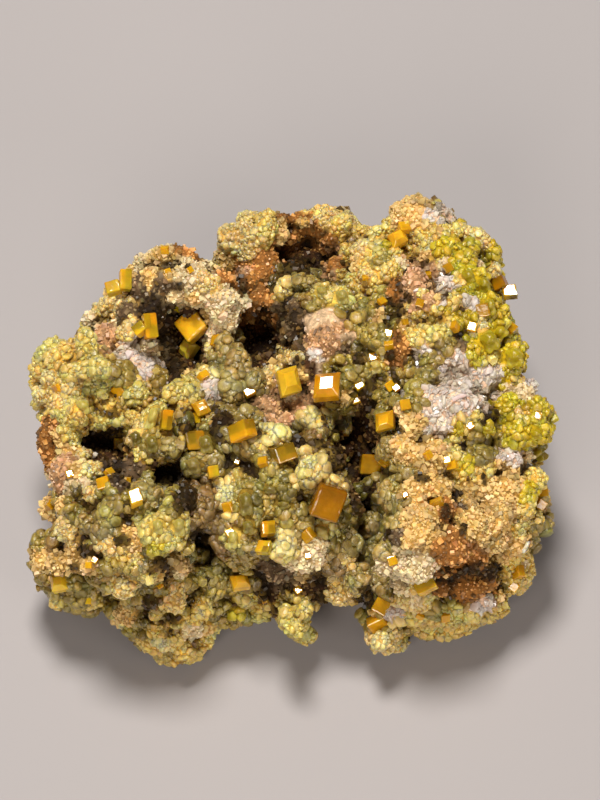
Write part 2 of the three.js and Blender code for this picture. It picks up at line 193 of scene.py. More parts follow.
# Smooth rolls of noise between about -1 and 1 at points in mm: seven waves of about one size in mm.
def waves(points, size, seed):
    rng = np.random.default_rng(seed)
    total = np.zeros(len(points))
    for _ in range(7):
        way = unit(rng.normal(size=3)) * 2 * math.pi / (size * rng.uniform(0.7, 1.4))
        total += np.sin(points @ way + rng.uniform(0, 2 * math.pi))
    return total / 2.6


# What grows where

# The kinds of ground: the shape of the crystals, their radius in mm, the room that each takes in radii,
# how far their colour varies, the colour itself, and the colour of the ground below them.
kinds = {
    "lime": {
        "shape": "bud", "radius": 0.32, "room": 1.0, "vary": 0.18,
        "colour": (0.629, 0.458, 0.106), "ground": (0.562, 0.376, 0.0603),
    },
    "citrus": {
        "shape": "bud", "radius": 0.33, "room": 1.0, "vary": 0.16,
        "colour": (0.526, 0.357, 0.00912), "ground": (0.447, 0.294, 0.00558),
    },
    "yellow": {
        "shape": "bud", "radius": 0.28, "room": 1.05, "vary": 0.2,
        "colour": (0.772, 0.48, 0.108), "ground": (0.69, 0.395, 0.0612),
    },
    "straw": {
        "shape": "bud", "radius": 0.25, "room": 1.1, "vary": 0.22,
        "colour": (0.851, 0.529, 0.176), "ground": (0.681, 0.411, 0.102),
    },
    "olive": {
        "shape": "bead", "radius": 0.37, "room": 0.98, "vary": 0.26,
        "colour": (0.299, 0.2, 0.0312), "ground": (0.226, 0.138, 0.015),
    },
    "moss": {
        "shape": "bead", "radius": 0.39, "room": 0.98, "vary": 0.24,
        "colour": (0.126, 0.0897, 0.0096), "ground": (0.0936, 0.0608, 0.0048),
    },
    "grey": {
        "shape": "bead", "radius": 0.37, "room": 0.98, "vary": 0.24,
        "colour": (0.311, 0.205, 0.0479), "ground": (0.245, 0.149, 0.0239),
    },
    "pale": {
        "shape": "bead", "radius": 0.38, "room": 0.98, "vary": 0.16,
        "colour": (0.775, 0.529, 0.154), "ground": (0.691, 0.433, 0.0872),
    },
    "mauve": {
        "shape": "bead", "radius": 0.4, "room": 1.0, "vary": 0.22,
        "colour": (0.201, 0.113, 0.0263), "ground": (0.158, 0.0818, 0.0132),
    },
    "tan": {
        "shape": "grain", "radius": 0.2, "room": 1.3, "vary": 0.34,
        "colour": (0.776, 0.496, 0.17), "ground": (0.475, 0.273, 0.065),
    },
    "cream": {
        "shape": "grain", "radius": 0.19, "room": 1.3, "vary": 0.34,
        "colour": (0.948, 0.747, 0.422), "ground": (0.553, 0.384, 0.178),
    },
    "pink": {
        "shape": "grain", "radius": 0.17, "room": 2.0, "vary": 0.75,
        "colour": (0.664, 0.378, 0.188), "ground": (0.449, 0.241, 0.106),
    },
    "rust": {
        "shape": "grain", "radius": 0.16, "room": 2.2, "vary": 1.0,
        "colour": (0.453, 0.2, 0.0511), "ground": (0.298, 0.119, 0.0242),
    },
    # Dark grains: partly the rock's own dark colour, partly painted shade in hollows, clefts and pits.
    "dark": {
        "shape": "grain", "radius": 0.18, "room": 2.6, "vary": 0.7,
        "colour": (0.12, 0.06, 0.015), "ground": (0.045, 0.018, 0.006),
    },
    "slab": {
        "shape": "grain", "radius": 0.17, "room": 5.0, "vary": 0.4,
        "colour": (0.663, 0.485, 0.312), "ground": (0.613, 0.42, 0.241),
    },
    "stone": {
        "shape": "grain", "radius": 0.18, "room": 2.2, "vary": 0.5,
        "colour": (0.167, 0.106, 0.0469), "ground": (0.111, 0.0664, 0.0325),
    },
    "quartz": {
        "shape": "shard", "radius": 0.23, "room": 1.1, "vary": 0.35,
        "colour": (0.97, 0.747, 0.595), "ground": (0.794, 0.524, 0.348),
    },
    "back": {
        "shape": "grain", "radius": 0.22, "room": 2.6, "vary": 0.45,
        "colour": (0.36, 0.22, 0.07), "ground": (0.20, 0.11, 0.04),
    },
}
kindNames = list(kinds)

# Patches of ground in the front view: kind, x, y, half width, half height, strength. Dark is partly painted
# shade.
patches = [
    # left lobe
    ("yellow", -21.0, 3.0, 6.0, 4.5, 1.0), ("yellow", -17.0, -2.0, 5.0, 3.5, 0.9),
    ("lime", -15.0, -2.2, 2.6, 2.2, 0.9), ("straw", -18.8, 8.4, 2.6, 2.4, 1.0),
    ("pink", -19.4, 6.0, 1.7, 1.8, 1.2), ("quartz", -16.6, 3.8, 3.0, 2.0, 1.5),
    ("rust", -25.6, -4.6, 1.2, 2.8, 1.1), ("tan", -24.0, -5.2, 1.2, 2.0, 1.0),
    ("dark", -19.6, -4.4, 2.4, 1.7, 1.3), ("yellow", -14.6, -3.4, 2.0, 3.0, 0.9),
    ("stone", -18.4, -7.4, 2.4, 2.0, 0.9), ("cream", -23.0, -7.4, 2.2, 2.4, 0.9),
    ("olive", -20.5, -11.5, 4.5, 4.5, 0.9), ("tan", -22.5, -16.0, 3.0, 3.0, 0.7),
    ("olive", -23.0, -19.0, 3.4, 3.0, 0.8), ("yellow", -17.0, -15.5, 3.6, 3.0, 0.7),
    ("lime", -13.8, -13.0, 3.2, 2.6, 1.2), ("tan", -13.6, -16.8, 2.6, 1.8, 0.9),
    ("olive", -13.0, -20.5, 5.0, 3.0, 0.8), ("yellow", -11.6, -24.0, 3.0, 3.0, 0.9),
    ("dark", -13.3, -7.9, 2.0, 1.8, 1.3), ("grey", -14.6, -9.6, 2.2, 2.2, 0.9),
    # top ledge and the recess under it
    ("cream", -12.0, 12.0, 5.5, 3.5, 1.1), ("rust", -11.4, 15.0, 2.2, 1.2, 1.0),
    ("tan", -18.0, 11.6, 2.6, 2.4, 1.0), ("cream", -6.6, 9.8, 2.8, 2.2, 1.1),
    ("stone", -15.4, 9.6, 1.8, 1.4, 1.1), ("dark", -12.6, 6.2, 3.4, 3.0, 1.4),
    ("cream", -7.8, 6.2, 1.4, 2.2, 1.2), ("stone", -18.2, 8.2, 1.2, 0.9, 1.1),
    # main hollow, its rusty band and the back
    ("rust", -4.6, 9.0, 2.4, 2.8, 1.5), ("rust", -5.4, 12.6, 3.0, 2.0, 1.4),
    ("dark", -3.6, 5.8, 2.4, 2.4, 1.7), ("straw", -6.4, 16.6, 3.6, 3.2, 1.0),
    ("rust", 0.2, 15.6, 3.2, 3.0, 1.4), ("dark", 0.8, 14.6, 1.9, 1.8, 1.8),
    ("pink", 3.6, 14.2, 1.6, 1.8, 1.1), ("rust", 0.6, 18.0, 2.0, 0.9, 1.1),
    ("straw", 3.6, 18.6, 3.2, 2.4, 1.1), ("yellow", 5.6, 16.0, 2.2, 2.4, 1.0),
    ("grey", -0.4, 11.6, 3.4, 2.4, 1.2), ("olive", 3.0, 10.0, 2.6, 2.0, 1.1),
    # middle
    ("grey", -7.0, 4.4, 2.0, 2.4, 1.1), ("grey", -7.4, 1.0, 3.0, 3.2, 1.1),
    ("stone", -1.0, 8.6, 1.8, 2.4, 1.5), ("slab", 2.8, 6.1, 2.2, 2.2, 1.5),
    ("stone", 0.4, 6.4, 1.2, 2.2, 1.2), ("dark", -0.2, 3.6, 1.5, 1.6, 1.1),
    ("straw", -1.6, 4.2, 1.6, 1.0, 1.2), ("pink", -0.4, -0.8, 3.4, 2.2, 1.2),
    ("olive", 4.6, 2.6, 2.0, 2.4, 1.0), ("grey", -6.6, -4.0, 3.6, 3.2, 1.1),
    ("grey", 1.0, -3.0, 2.8, 1.6, 1.0), ("olive", -3.6, -6.0, 3.4, 2.4, 1.0),
    ("dark", -5.4, -6.8, 1.2, 0.9, 1.3), ("dark", -7.8, -2.0, 1.3, 1.2, 1.2),
    ("dark", -0.4, -4.4, 1.4, 1.2, 1.1), ("olive", -5.5, -7.6, 4.0, 2.4, 0.9),
    ("mauve", -9.4, -10.6, 2.2, 3.6, 1.2), ("olive", -2.2, -11.6, 4.4, 4.0, 1.0),
    ("grey", -6.0, -14.4, 2.4, 2.0, 0.9), ("pale", 1.7, -7.2, 2.6, 2.2, 1.4),
    ("grey", 0.2, -14.0, 4.0, 2.4, 0.9), ("cream", 0.8, -16.2, 2.0, 1.8, 1.3),
    ("stone", -2.4, -17.4, 1.8, 1.6, 1.3), ("olive", -6.6, -18.6, 3.4, 2.4, 0.9),
    ("yellow", -3.6, -20.4, 2.6, 2.4, 0.9), ("lime", -0.6, -21.6, 2.0, 2.2, 1.0),
    ("straw", 4.2, -18.6, 3.0, 3.2, 0.9), ("grey", 5.4, -15.4, 2.8, 3.0, 1.1),
    ("dark", 1.4, -18.6, 1.8, 1.0, 1.3), ("dark", -3.2, -19.0, 1.0, 1.4, 1.1),
    # cleft
    ("dark", 5.4, -3.4, 1.9, 3.6, 1.5), ("dark", 6.2, -7.6, 1.5, 3.2, 1.4),
    ("olive", 7.4, -12.4, 2.2, 3.4, 1.2),
    # right ridge
    ("yellow", 6.6, 13.0, 3.4, 3.4, 1.0), ("yellow", 12.0, 16.2, 4.0, 3.0, 1.0),
    ("quartz", 13.4, 18.6, 1.8, 0.7, 1.4), ("tan", 11.0, 19.4, 2.0, 1.6, 1.1),
    ("citrus", 16.6, 13.2, 3.6, 4.0, 0.9), ("straw", 18.0, 16.2, 2.2, 1.6, 0.9),
    ("pink", 11.6, 11.4, 2.6, 3.2, 1.4), ("quartz", 14.8, 11.8, 1.2, 1.8, 1.3),
    ("olive", 8.6, 8.4, 3.4, 3.6, 1.0), ("tan", 10.4, 8.2, 1.6, 1.8, 0.9),
    ("yellow", 13.0, 7.4, 3.2, 2.2, 1.1), ("citrus", 17.6, 7.4, 3.2, 4.0, 1.1),
    ("quartz", 17.4, 9.6, 1.0, 1.0, 1.2), ("citrus", 20.6, 3.4, 3.0, 3.0, 1.3),
    ("olive", 6.8, 3.4, 2.4, 3.4, 1.0), ("rust", 10.0, 5.0, 1.4, 2.6, 1.1),
    ("olive", 10.6, 2.0, 2.6, 2.4, 0.9), ("quartz", 15.6, 2.2, 4.6, 3.4, 1.6),
    ("quartz", 12.6, -0.8, 3.0, 2.2, 1.4), ("olive", 9.2, -0.8, 1.8, 2.8, 0.9),
    ("quartz", 22.4, 1.3, 2.4, 1.0, 1.3), ("citrus", 22.6, -2.2, 3.8, 3.4, 1.6),
    ("olive", 18.4, -4.0, 2.6, 2.2, 1.2), ("dark", 19.0, -1.6, 1.2, 0.9, 1.6),
    ("dark", 16.6, -4.8, 0.9, 0.8, 1.6), ("tan", 12.0, -4.8, 3.4, 2.0, 0.9),
    ("yellow", 15.8, -6.4, 3.2, 2.0, 0.9), ("quartz", 21.6, -5.6, 2.4, 0.9, 1.3),
    ("grey", 9.4, -8.4, 2.2, 4.6, 1.1), ("tan", 14.0, -8.2, 4.0, 3.0, 1.0),
    ("rust", 14.4, -11.0, 1.8, 2.4, 1.0), ("stone", 16.4, -9.6, 0.8, 1.5, 1.4),
    ("tan", 19.6, -9.6, 4.6, 4.4, 1.2), ("yellow", 23.0, -9.6, 1.8, 3.6, 1.0),
    ("olive", 23.8, -13.2, 2.2, 1.6, 1.0), ("tan", 12.0, -13.6, 3.0, 2.8, 1.1),
    ("rust", 15.2, -15.6, 2.8, 2.4, 1.6), ("rust", 16.4, -19.0, 2.8, 1.6, 1.5),
    ("dark", 16.2, -17.2, 2.6, 0.5, 2.0), ("yellow", 22.0, -17.6, 2.4, 2.4, 1.0),
    ("cream", 10.6, -16.6, 3.0, 2.6, 1.1), ("tan", 20.0, -13.8, 3.0, 2.6, 1.1),
    ("yellow", 14.0, -21.6, 7.0, 1.8, 1.0), ("olive", 9.4, -21.6, 3.0, 2.4, 0.9),
    ("straw", 8.2, -24.0, 2.4, 2.2, 1.0),
]

# Clumps that stand out in the front view: kind, x, y, half width, half height, and the turn in degrees
# where there is one.
clumps = [
    # left lobe
    ("lime", -25.2, 4.8, 1.9, 1.0, 45), ("yellow", -26.3, 3.1, 0.8, 0.9), ("lime", -21.4, 5.5, 0.9, 1.8),
    ("cream", -21.2, 7.9, 0.8, 0.9), ("pink", -19.7, 6.1, 1.1, 1.7), ("lime", -22.9, 2.8, 0.9, 0.9),
    ("lime", -20.1, 3.2, 1.0, 1.0), ("lime", -20.4, 1.4, 1.3, 0.8), ("straw", -25.0, 2.2, 1.0, 0.9),
    ("straw", -26.0, 0.5, 0.9, 1.0), ("straw", -24.2, -0.1, 1.0, 0.9), ("yellow", -26.7, 1.7, 0.6, 0.6),
    ("olive", -18.0, 2.6, 1.3, 1.0), ("lime", -16.4, 0.6, 1.3, 1.0), ("olive", -14.2, 2.2, 1.0, 0.9),
    ("yellow", -19.0, -0.4, 0.9, 0.8), ("lime", -19.2, -2.1, 1.7, 0.5, 12),
    ("lime", -23.1, -3.0, 0.6, 1.6, 28), ("quartz", -21.0, -5.3, 0.6, 0.5),
    ("rust", -25.4, -4.2, 0.9, 2.2), ("pink", -23.6, -7.4, 1.6, 1.8),
    ("straw", -21.0, -6.9, 1.2, 0.8, 20), ("straw", -21.1, -9.4, 0.8, 0.8),
    ("tan", -24.9, -10.8, 1.2, 1.3), ("olive", -18.9, -11.3, 1.2, 1.3), ("grey", -21.6, -12.2, 0.9, 1.0),
    ("straw", -23.2, -13.0, 1.3, 1.3), ("grey", -19.7, -13.0, 1.0, 0.9),
    ("straw", -19.3, -14.5, 1.2, 0.9), ("tan", -24.0, -16.3, 1.4, 1.2), ("tan", -26.0, -16.6, 0.8, 0.8),
    ("tan", -21.2, -16.5, 0.9, 0.9), ("olive", -19.2, -16.7, 0.7, 0.7), ("olive", -22.8, -18.4, 0.9, 0.9),
    ("yellow", -24.3, -20.2, 0.9, 0.8), ("straw", -17.7, -18.6, 1.2, 1.4),
    ("olive", -17.2, -16.8, 1.3, 0.6, -20), ("lime", -15.3, -17.7, 0.8, 0.7),
    ("yellow", -20.6, -20.1, 0.9, 0.8, -30), ("olive", -19.0, -21.0, 0.8, 0.7),
    ("tan", -17.2, -21.3, 1.4, 1.1),
    # lime cluster and the toe below it
    ("lime", -15.0, -13.1, 1.2, 1.2), ("lime", -12.2, -12.6, 1.0, 1.3), ("lime", -13.7, -12.2, 0.9, 0.9),
    ("citrus", -14.3, -14.6, 0.9, 1.1), ("tan", -16.5, -14.0, 1.0, 1.3),
    ("tan", -12.2, -16.2, 1.9, 0.5, -45), ("olive", -11.4, -14.6, 0.9, 0.8),
    ("olive", -10.0, -15.6, 0.7, 0.8), ("olive", -9.4, -17.6, 1.0, 0.8),
    ("straw", -12.5, -20.0, 1.1, 1.4), ("yellow", -10.0, -21.0, 0.8, 1.5, -15),
    ("cream", -10.8, -23.0, 1.0, 1.0), ("yellow", -11.6, -25.0, 1.1, 1.2),
    ("straw", -13.5, -24.4, 1.0, 0.9), ("yellow", -14.5, -21.5, 0.7, 0.7),
    ("yellow", -14.6, -23.0, 0.8, 0.8), ("olive", -8.6, -19.0, 0.9, 0.9),
    ("olive", -8.7, -21.0, 0.6, 0.7), ("olive", -7.6, -22.2, 0.8, 0.6), ("lime", -5.5, -19.7, 1.0, 1.1),
    ("olive", -5.6, -21.8, 0.8, 0.8), ("lime", -3.9, -21.4, 0.9, 0.9),
    # left middle
    ("grey", -15.4, -9.4, 1.4, 1.2), ("olive", -12.9, -9.8, 0.9, 1.0), ("grey", -13.8, -8.6, 0.9, 0.9),
    ("lime", -12.6, 0.8, 1.3, 0.8, 15), ("lime", -11.2, 1.4, 0.9, 0.7),
    ("lime", -14.6, -1.6, 0.9, 1.6, -25), ("straw", -16.3, -3.6, 0.9, 1.0),
    ("olive", -14.6, -4.2, 1.0, 1.2), ("grey", -13.2, -4.8, 1.5, 0.8, 10),
    ("olive", -9.0, -4.2, 1.2, 1.3), ("grey", -10.6, -6.5, 1.2, 1.1), ("mauve", -9.9, -10.4, 1.3, 1.7),
    ("mauve", -7.6, -14.4, 1.2, 1.2), ("mauve", -10.6, -12.4, 1.2, 1.0), ("pale", -7.3, -9.4, 1.2, 1.3),
    ("pale", -6.4, -7.6, 0.5, 0.9), ("lime", -6.5, -13.8, 0.9, 1.3, -10), ("olive", -5.3, -9.9, 1.0, 1.7),
    ("olive", -5.0, -12.4, 0.9, 1.1), ("grey", -5.0, -14.8, 1.0, 1.1), ("olive", -3.0, -8.8, 1.4, 0.6),
    ("olive", -2.8, -10.8, 0.7, 0.8), ("olive", -1.4, -10.6, 0.8, 0.8), ("olive", -0.2, -11.2, 0.8, 0.8),
    # middle
    ("grey", -7.5, 5.6, 0.9, 1.0), ("grey", -6.3, 4.0, 1.0, 1.3), ("grey", -7.0, 1.6, 1.2, 1.7),
    ("grey", -4.8, 2.0, 1.0, 1.2), ("quartz", -9.0, 0.9, 0.9, 1.0), ("grey", -5.4, -1.4, 1.0, 0.9),
    ("pale", -2.5, -3.6, 1.4, 1.0), ("pale", -3.7, -4.6, 0.6, 0.6), ("olive", -2.5, -6.6, 1.3, 1.0),
    ("pale", 1.5, -2.0, 1.2, 1.0), ("pale", 4.3, -2.5, 0.8, 0.8), ("olive", 2.4, -4.5, 0.5, 0.5),
    ("olive", 3.6, -3.7, 0.5, 0.5), ("olive", 3.9, -5.3, 0.4, 0.4), ("pale", 2.2, -13.0, 1.3, 1.2),
    ("grey", 0.0, -12.6, 0.9, 0.9), ("pale", -1.8, -14.6, 1.3, 1.4), ("cream", 0.8, -16.0, 1.4, 1.4),
    ("grey", 3.2, -15.0, 1.0, 1.0), ("stone", -2.2, -17.2, 1.4, 1.3), ("lime", -1.4, -21.4, 0.8, 1.0),
    ("lime", 0.4, -21.0, 0.8, 1.2),
    # below the cleft
    ("grey", 7.0, -12.4, 1.3, 1.2), ("grey", 5.2, -14.4, 1.0, 1.1), ("grey", 6.8, -15.4, 1.1, 1.1),
    ("olive", 8.0, -13.8, 0.9, 0.9), ("grey", 9.2, -9.4, 1.2, 1.7), ("grey", 9.4, -12.8, 0.8, 0.9),
    ("grey", 5.8, -18.0, 1.3, 1.7), ("straw", 3.9, -19.2, 1.0, 1.4), ("grey", 9.0, -4.8, 1.1, 1.0),
    # right ridge, low
    ("cream", 11.6, -16.4, 1.9, 2.0), ("cream", 8.6, -16.2, 1.0, 1.3), ("grey", 8.8, -19.0, 0.8, 0.9),
    ("tan", 11.5, -14.0, 1.2, 0.8, 20), ("tan", 12.0, -11.8, 1.5, 1.4), ("tan", 11.6, -9.2, 1.4, 1.1),
    ("tan", 14.4, -8.6, 1.1, 0.9), ("tan", 18.6, -9.0, 1.4, 1.4), ("tan", 21.0, -8.6, 1.3, 1.3),
    ("tan", 20.0, -11.4, 1.5, 1.3), ("tan", 17.6, -12.2, 1.3, 1.3), ("tan", 19.4, -14.2, 1.5, 1.2),
    ("tan", 21.8, -14.2, 1.2, 1.4), ("yellow", 22.6, -10.8, 1.0, 1.3), ("yellow", 23.6, -8.0, 1.1, 1.2),
    ("olive", 24.6, -12.6, 0.8, 0.9), ("yellow", 21.6, -17.6, 1.4, 1.2), ("rust", 15.2, -15.2, 1.8, 1.5),
    ("rust", 17.6, -15.8, 1.1, 0.9), ("rust", 17.0, -19.0, 1.7, 1.1), ("rust", 14.2, -18.9, 0.8, 1.0),
    ("olive", 13.2, -20.8, 1.2, 0.9), ("lime", 15.4, -20.9, 1.0, 0.9), ("yellow", 11.4, -21.6, 1.2, 0.9),
    ("yellow", 14.6, -22.2, 1.2, 0.5), ("yellow", 17.2, -21.6, 1.2, 0.6, 12),
    ("quartz", 9.6, -21.4, 1.2, 0.9), ("quartz", 18.4, -20.4, 1.0, 0.8, 30),
    ("straw", 8.0, -24.2, 0.9, 1.0),
    # right ridge, middle
    ("tan", 10.4, -4.6, 1.2, 1.4, 30), ("tan", 13.4, -5.0, 1.4, 1.0), ("yellow", 15.4, -5.6, 1.2, 0.8),
    ("yellow", 16.4, -7.4, 1.2, 0.8), ("citrus", 16.0, -2.6, 0.6, 0.9), ("citrus", 18.6, -3.0, 0.9, 0.6),
    ("olive", 17.9, -5.4, 1.2, 0.7, -10), ("citrus", 20.9, -0.6, 1.1, 1.2),
    ("citrus", 22.0, -3.4, 1.5, 1.3), ("citrus", 24.0, -0.8, 1.0, 1.0), ("citrus", 23.8, -3.2, 1.2, 1.2),
    ("quartz", 22.4, 1.4, 1.6, 0.7, -10), ("quartz", 21.2, -5.8, 1.4, 0.6, -25),
    # right ridge, high
    ("citrus", 21.4, 4.3, 1.3, 1.3), ("citrus", 18.6, 5.8, 1.2, 1.3), ("citrus", 17.2, 4.6, 0.8, 1.2),
    ("citrus", 19.8, 7.0, 1.1, 0.9, 30), ("citrus", 20.6, 2.6, 0.8, 0.8),
    ("citrus", 17.2, 11.8, 1.5, 1.5), ("citrus", 18.6, 9.6, 1.2, 1.2), ("yellow", 15.6, 17.0, 0.7, 0.7),
    ("citrus", 14.8, 15.2, 1.3, 0.9), ("yellow", 12.6, 15.8, 0.8, 1.4),
    ("straw", 18.0, 16.3, 1.5, 0.8, -35), ("citrus", 19.4, 15.0, 0.8, 0.7),
    ("straw", 19.6, 12.9, 0.6, 1.0), ("tan", 11.6, 19.2, 1.2, 0.9), ("tan", 10.0, 18.4, 0.8, 1.2),
    ("quartz", 13.4, 18.5, 1.5, 0.4, -35), ("yellow", 7.6, 15.4, 0.8, 0.8),
    ("straw", 6.2, 15.0, 1.1, 1.1), ("yellow", 8.8, 13.0, 1.4, 1.0, 20), ("straw", 6.6, 12.4, 0.8, 1.0),
    ("pink", 11.6, 11.4, 1.4, 2.0), ("quartz", 14.6, 11.6, 0.8, 1.0), ("quartz", 17.0, 9.9, 0.9, 0.5),
    ("lime", 12.4, 10.6, 0.5, 0.5), ("yellow", 15.2, 10.0, 0.8, 0.8), ("yellow", 12.2, 6.8, 0.9, 0.8),
    ("lime", 13.8, 6.6, 1.0, 0.9), ("olive", 7.4, 6.4, 1.1, 1.1), ("olive", 6.6, 3.0, 0.9, 1.2),
    ("olive", 12.6, 2.2, 1.3, 0.9, 15),
    # back
    ("yellow", -3.4, 17.4, 1.0, 1.8), ("straw", -7.0, 16.2, 1.4, 1.5), ("straw", -5.0, 14.5, 0.7, 0.7),
    ("grey", -8.0, 13.9, 1.0, 0.6), ("rust", -3.4, 14.2, 1.3, 0.8), ("pink", -5.2, 12.6, 1.2, 0.9),
    ("rust", -3.8, 10.8, 0.6, 1.5, 10), ("straw", 2.4, 18.6, 1.2, 0.9), ("yellow", 4.2, 17.6, 1.0, 1.1),
    ("grey", 0.8, 11.6, 1.8, 0.7, -15), ("lime", 2.2, 10.8, 1.0, 0.9), ("lime", 4.0, 10.2, 1.2, 1.3),
    ("pink", 2.6, 6.4, 1.9, 1.8, 20), ("tan", 3.2, 5.4, 1.4, 0.4, 15),
    # top ledge
    ("straw", -17.7, 9.9, 0.9, 0.8), ("straw", -19.3, 9.6, 0.8, 1.0), ("straw", -18.4, 8.6, 0.6, 0.6),
    ("stone", -16.0, 11.4, 0.9, 1.4), ("tan", -14.9, 12.3, 0.8, 1.2), ("tan", -13.8, 14.6, 1.2, 0.9),
    ("tan", -13.0, 12.2, 1.0, 0.8), ("cream", -11.6, 12.2, 1.4, 1.1),
    ("straw", -9.4, 11.8, 1.3, 0.9, -30), ("cream", -7.4, 10.2, 1.3, 0.9), ("cream", -5.8, 9.8, 0.8, 1.0),
    ("cream", -8.0, 8.6, 0.9, 1.2), ("rust", -11.0, 14.6, 1.2, 0.6, -35),
    ("rust", -7.4, 12.4, 1.2, 0.5, -30), ("cream", -8.5, 6.8, 0.7, 1.1), ("tan", -2.1, 16.8, 0.9, 1.2),
    ("straw", -22.6, 1.3, 1.1, 0.6), ("tan", -23.6, -5.0, 0.9, 0.8),
    ("yellow", -9.3, -23.6, 0.9, 1.4, -15), ("yellow", 21.7, -12.9, 1.1, 0.7),
    ("straw", -3.0, 2.8, 0.8, 0.8), ("tan", 12.4, -6.6, 1.0, 0.7), ("tan", -7.3, 14.4, 0.7, 0.8),
    ("pale", 3.2, -8.2, 0.8, 0.6), ("tan", -18.5, -22.6, 0.9, 0.7), ("straw", -0.1, 4.0, 0.6, 0.9),
    ("lime", -15.3, 5.5, 0.9, 0.6), ("cream", 0.8, -17.4, 1.0, 0.5), ("pale", 2.5, -12.8, 1.2, 0.6),
    ("yellow", 15.6, -4.0, 0.8, 0.5), ("cream", -0.9, 0.5, 0.9, 0.5), ("tan", 4.6, 0.5, 0.6, 0.6),
    ("straw", 7.4, -17.0, 0.6, 0.7), ("tan", 16.7, -13.7, 0.7, 0.6), ("tan", 16.8, -8.8, 0.6, 0.6),
    ("straw", -24.1, -11.2, 0.6, 0.6), ("pale", -6.9, -11.4, 0.7, 0.7), ("cream", -9.3, 10.4, 0.6, 0.6),
    ("straw", -10.9, -17.2, 0.6, 0.6), ("straw", 9.6, -20.0, 0.7, 0.6), ("straw", 11.9, -20.5, 1.3, 0.9),
    ("yellow", 18.5, -6.8, 1.0, 0.7), ("cream", -7.0, 7.9, 0.8, 1.1), ("straw", -8.6, 5.0, 1.0, 1.0),
    ("tan", 12.8, 14.3, 0.9, 0.7), ("tan", 7.9, 8.4, 0.7, 0.9), ("straw", -23.9, -17.9, 1.0, 0.6),
    ("straw", 4.7, -16.1, 0.6, 0.9), ("straw", -21.7, -5.4, 0.9, 0.6), ("tan", 18.1, -13.9, 0.7, 0.7),
    ("tan", 12.2, 17.6, 1.3, 0.6), ("lime", 18.6, 3.9, 1.1, 0.8), ("yellow", 21.7, 2.0, 0.7, 0.7),
    ("cream", 22.9, -5.6, 0.7, 0.7), ("tan", -10.6, 10.3, 0.7, 0.8), ("yellow", 8.5, 3.6, 0.7, 0.7),
    ("pale", -1.9, -12.4, 0.7, 0.6), ("tan", 5.6, 13.3, 0.6, 0.9), ("cream", -0.9, -16.4, 0.6, 0.6),
    ("tan", -24.2, -3.6, 0.6, 0.6), ("straw", -5.7, 15.0, 0.6, 1.0), ("yellow", 7.4, 11.5, 0.7, 0.6),
    ("lime", -10.8, 0.5, 0.7, 0.6), ("pale", 6.5, -15.6, 0.6, 0.6), ("yellow", -24.5, 3.6, 0.7, 0.7),
    ("slab", 2.2, 7.6, 1.9, 1.1, 20), ("slab", 2.9, 6.0, 2.1, 0.7, 12), ("stone", 3.8, 4.5, 0.9, 0.9),
    ("quartz", 1.6, 4.7, 0.7, 0.9), ("straw", -4.9, 16.5, 0.8, 0.8), ("tan", -7.2, 14.5, 0.7, 0.6),
    ("yellow", 12.4, -18.6, 1.1, 0.7), ("cream", -18.1, 7.5, 0.6, 0.6), ("straw", -12.3, -19.0, 0.9, 0.5),
    ("tan", 20.1, -19.5, 0.5, 0.8), ("pale", 2.2, -12.9, 0.8, 0.5), ("cream", -0.4, 3.7, 0.5, 0.7),
    ("tan", 13.9, 9.9, 0.5, 0.7), ("cream", -23.3, -8.9, 0.6, 0.6), ("lime", 20.0, -2.4, 0.5, 0.7),
    ("pale", 3.6, -13.4, 0.4, 0.8), ("tan", 0.3, 17.7, 0.7, 0.5), ("tan", -8.0, 4.6, 0.5, 0.5),
    ("tan", -9.5, 8.2, 0.4, 0.7), ("cream", 22.4, -16.3, 0.5, 0.5), ("cream", 18.3, 13.6, 0.5, 0.6),
    ("yellow", 18.4, 7.8, 0.6, 0.4), ("quartz", 1.2, -17.6, 0.5, 0.5), ("olive", -15.2, -7.6, 0.4, 0.8),
    ("tan", -8.6, -8.1, 0.6, 0.5), ("cream", -15.1, 5.0, 1.5, 1.2), ("tan", -7.3, 14.0, 1.1, 0.9),
    ("cream", 1.6, -14.4, 1.2, 0.7), ("tan", 0.9, -17.4, 1.2, 0.7), ("tan", -17.5, -13.7, 0.5, 0.9),
    ("yellow", -16.2, -15.6, 0.7, 0.5), ("cream", -21.6, -8.2, 0.6, 0.6),
    ("yellow", 22.2, -1.4, 0.6, 0.5), ("tan", 13.9, 16.7, 0.5, 0.5), ("tan", 16.7, -20.5, 0.5, 0.6),
    ("cream", -12.0, -17.4, 0.6, 0.5), ("cream", -6.6, 8.8, 0.5, 0.6), ("tan", 7.2, -21.3, 0.6, 0.6),
    ("tan", -11.2, 2.8, 0.5, 0.4), ("rust", 9.9, 11.0, 1.0, 1.2), ("tan", 11.6, 12.2, 0.6, 0.6),
    ("quartz", 12.0, 10.9, 0.5, 0.5), ("straw", 10.3, 9.2, 0.7, 0.6), ("quartz", 18.6, 2.6, 1.4, 1.3),
    ("tan", 11.2, -2.3, 1.2, 1.0), ("olive", 11.3, -0.6, 1.0, 0.9), ("tan", 10.1, -1.0, 0.8, 0.8),
    ("olive", 11.6, 1.0, 0.9, 0.8), ("olive", -19.0, -0.8, 0.9, 0.8), ("stone", -14.2, 11.8, 1.4, 0.9),
    ("olive", -15.8, -16.8, 0.8, 0.6), ("olive", -12.6, -11.2, 0.9, 1.4), ("tan", -9.4, -23.0, 0.8, 0.7),
    ("olive", 14.6, 5.6, 0.8, 0.6), ("tan", -23.8, -10.4, 0.8, 0.8), ("cream", 22.6, 0.8, 0.9, 0.9),
    ("olive", 13.0, 4.0, 0.8, 0.7), ("citrus", 22.6, -8.8, 0.8, 0.7), ("olive", 0.2, -8.8, 0.8, 0.7),
    ("citrus", -6.2, -21.4, 0.8, 0.7), ("lime", 16.2, -2.4, 0.8, 0.7), ("olive", 16.2, -5.6, 0.8, 0.6),
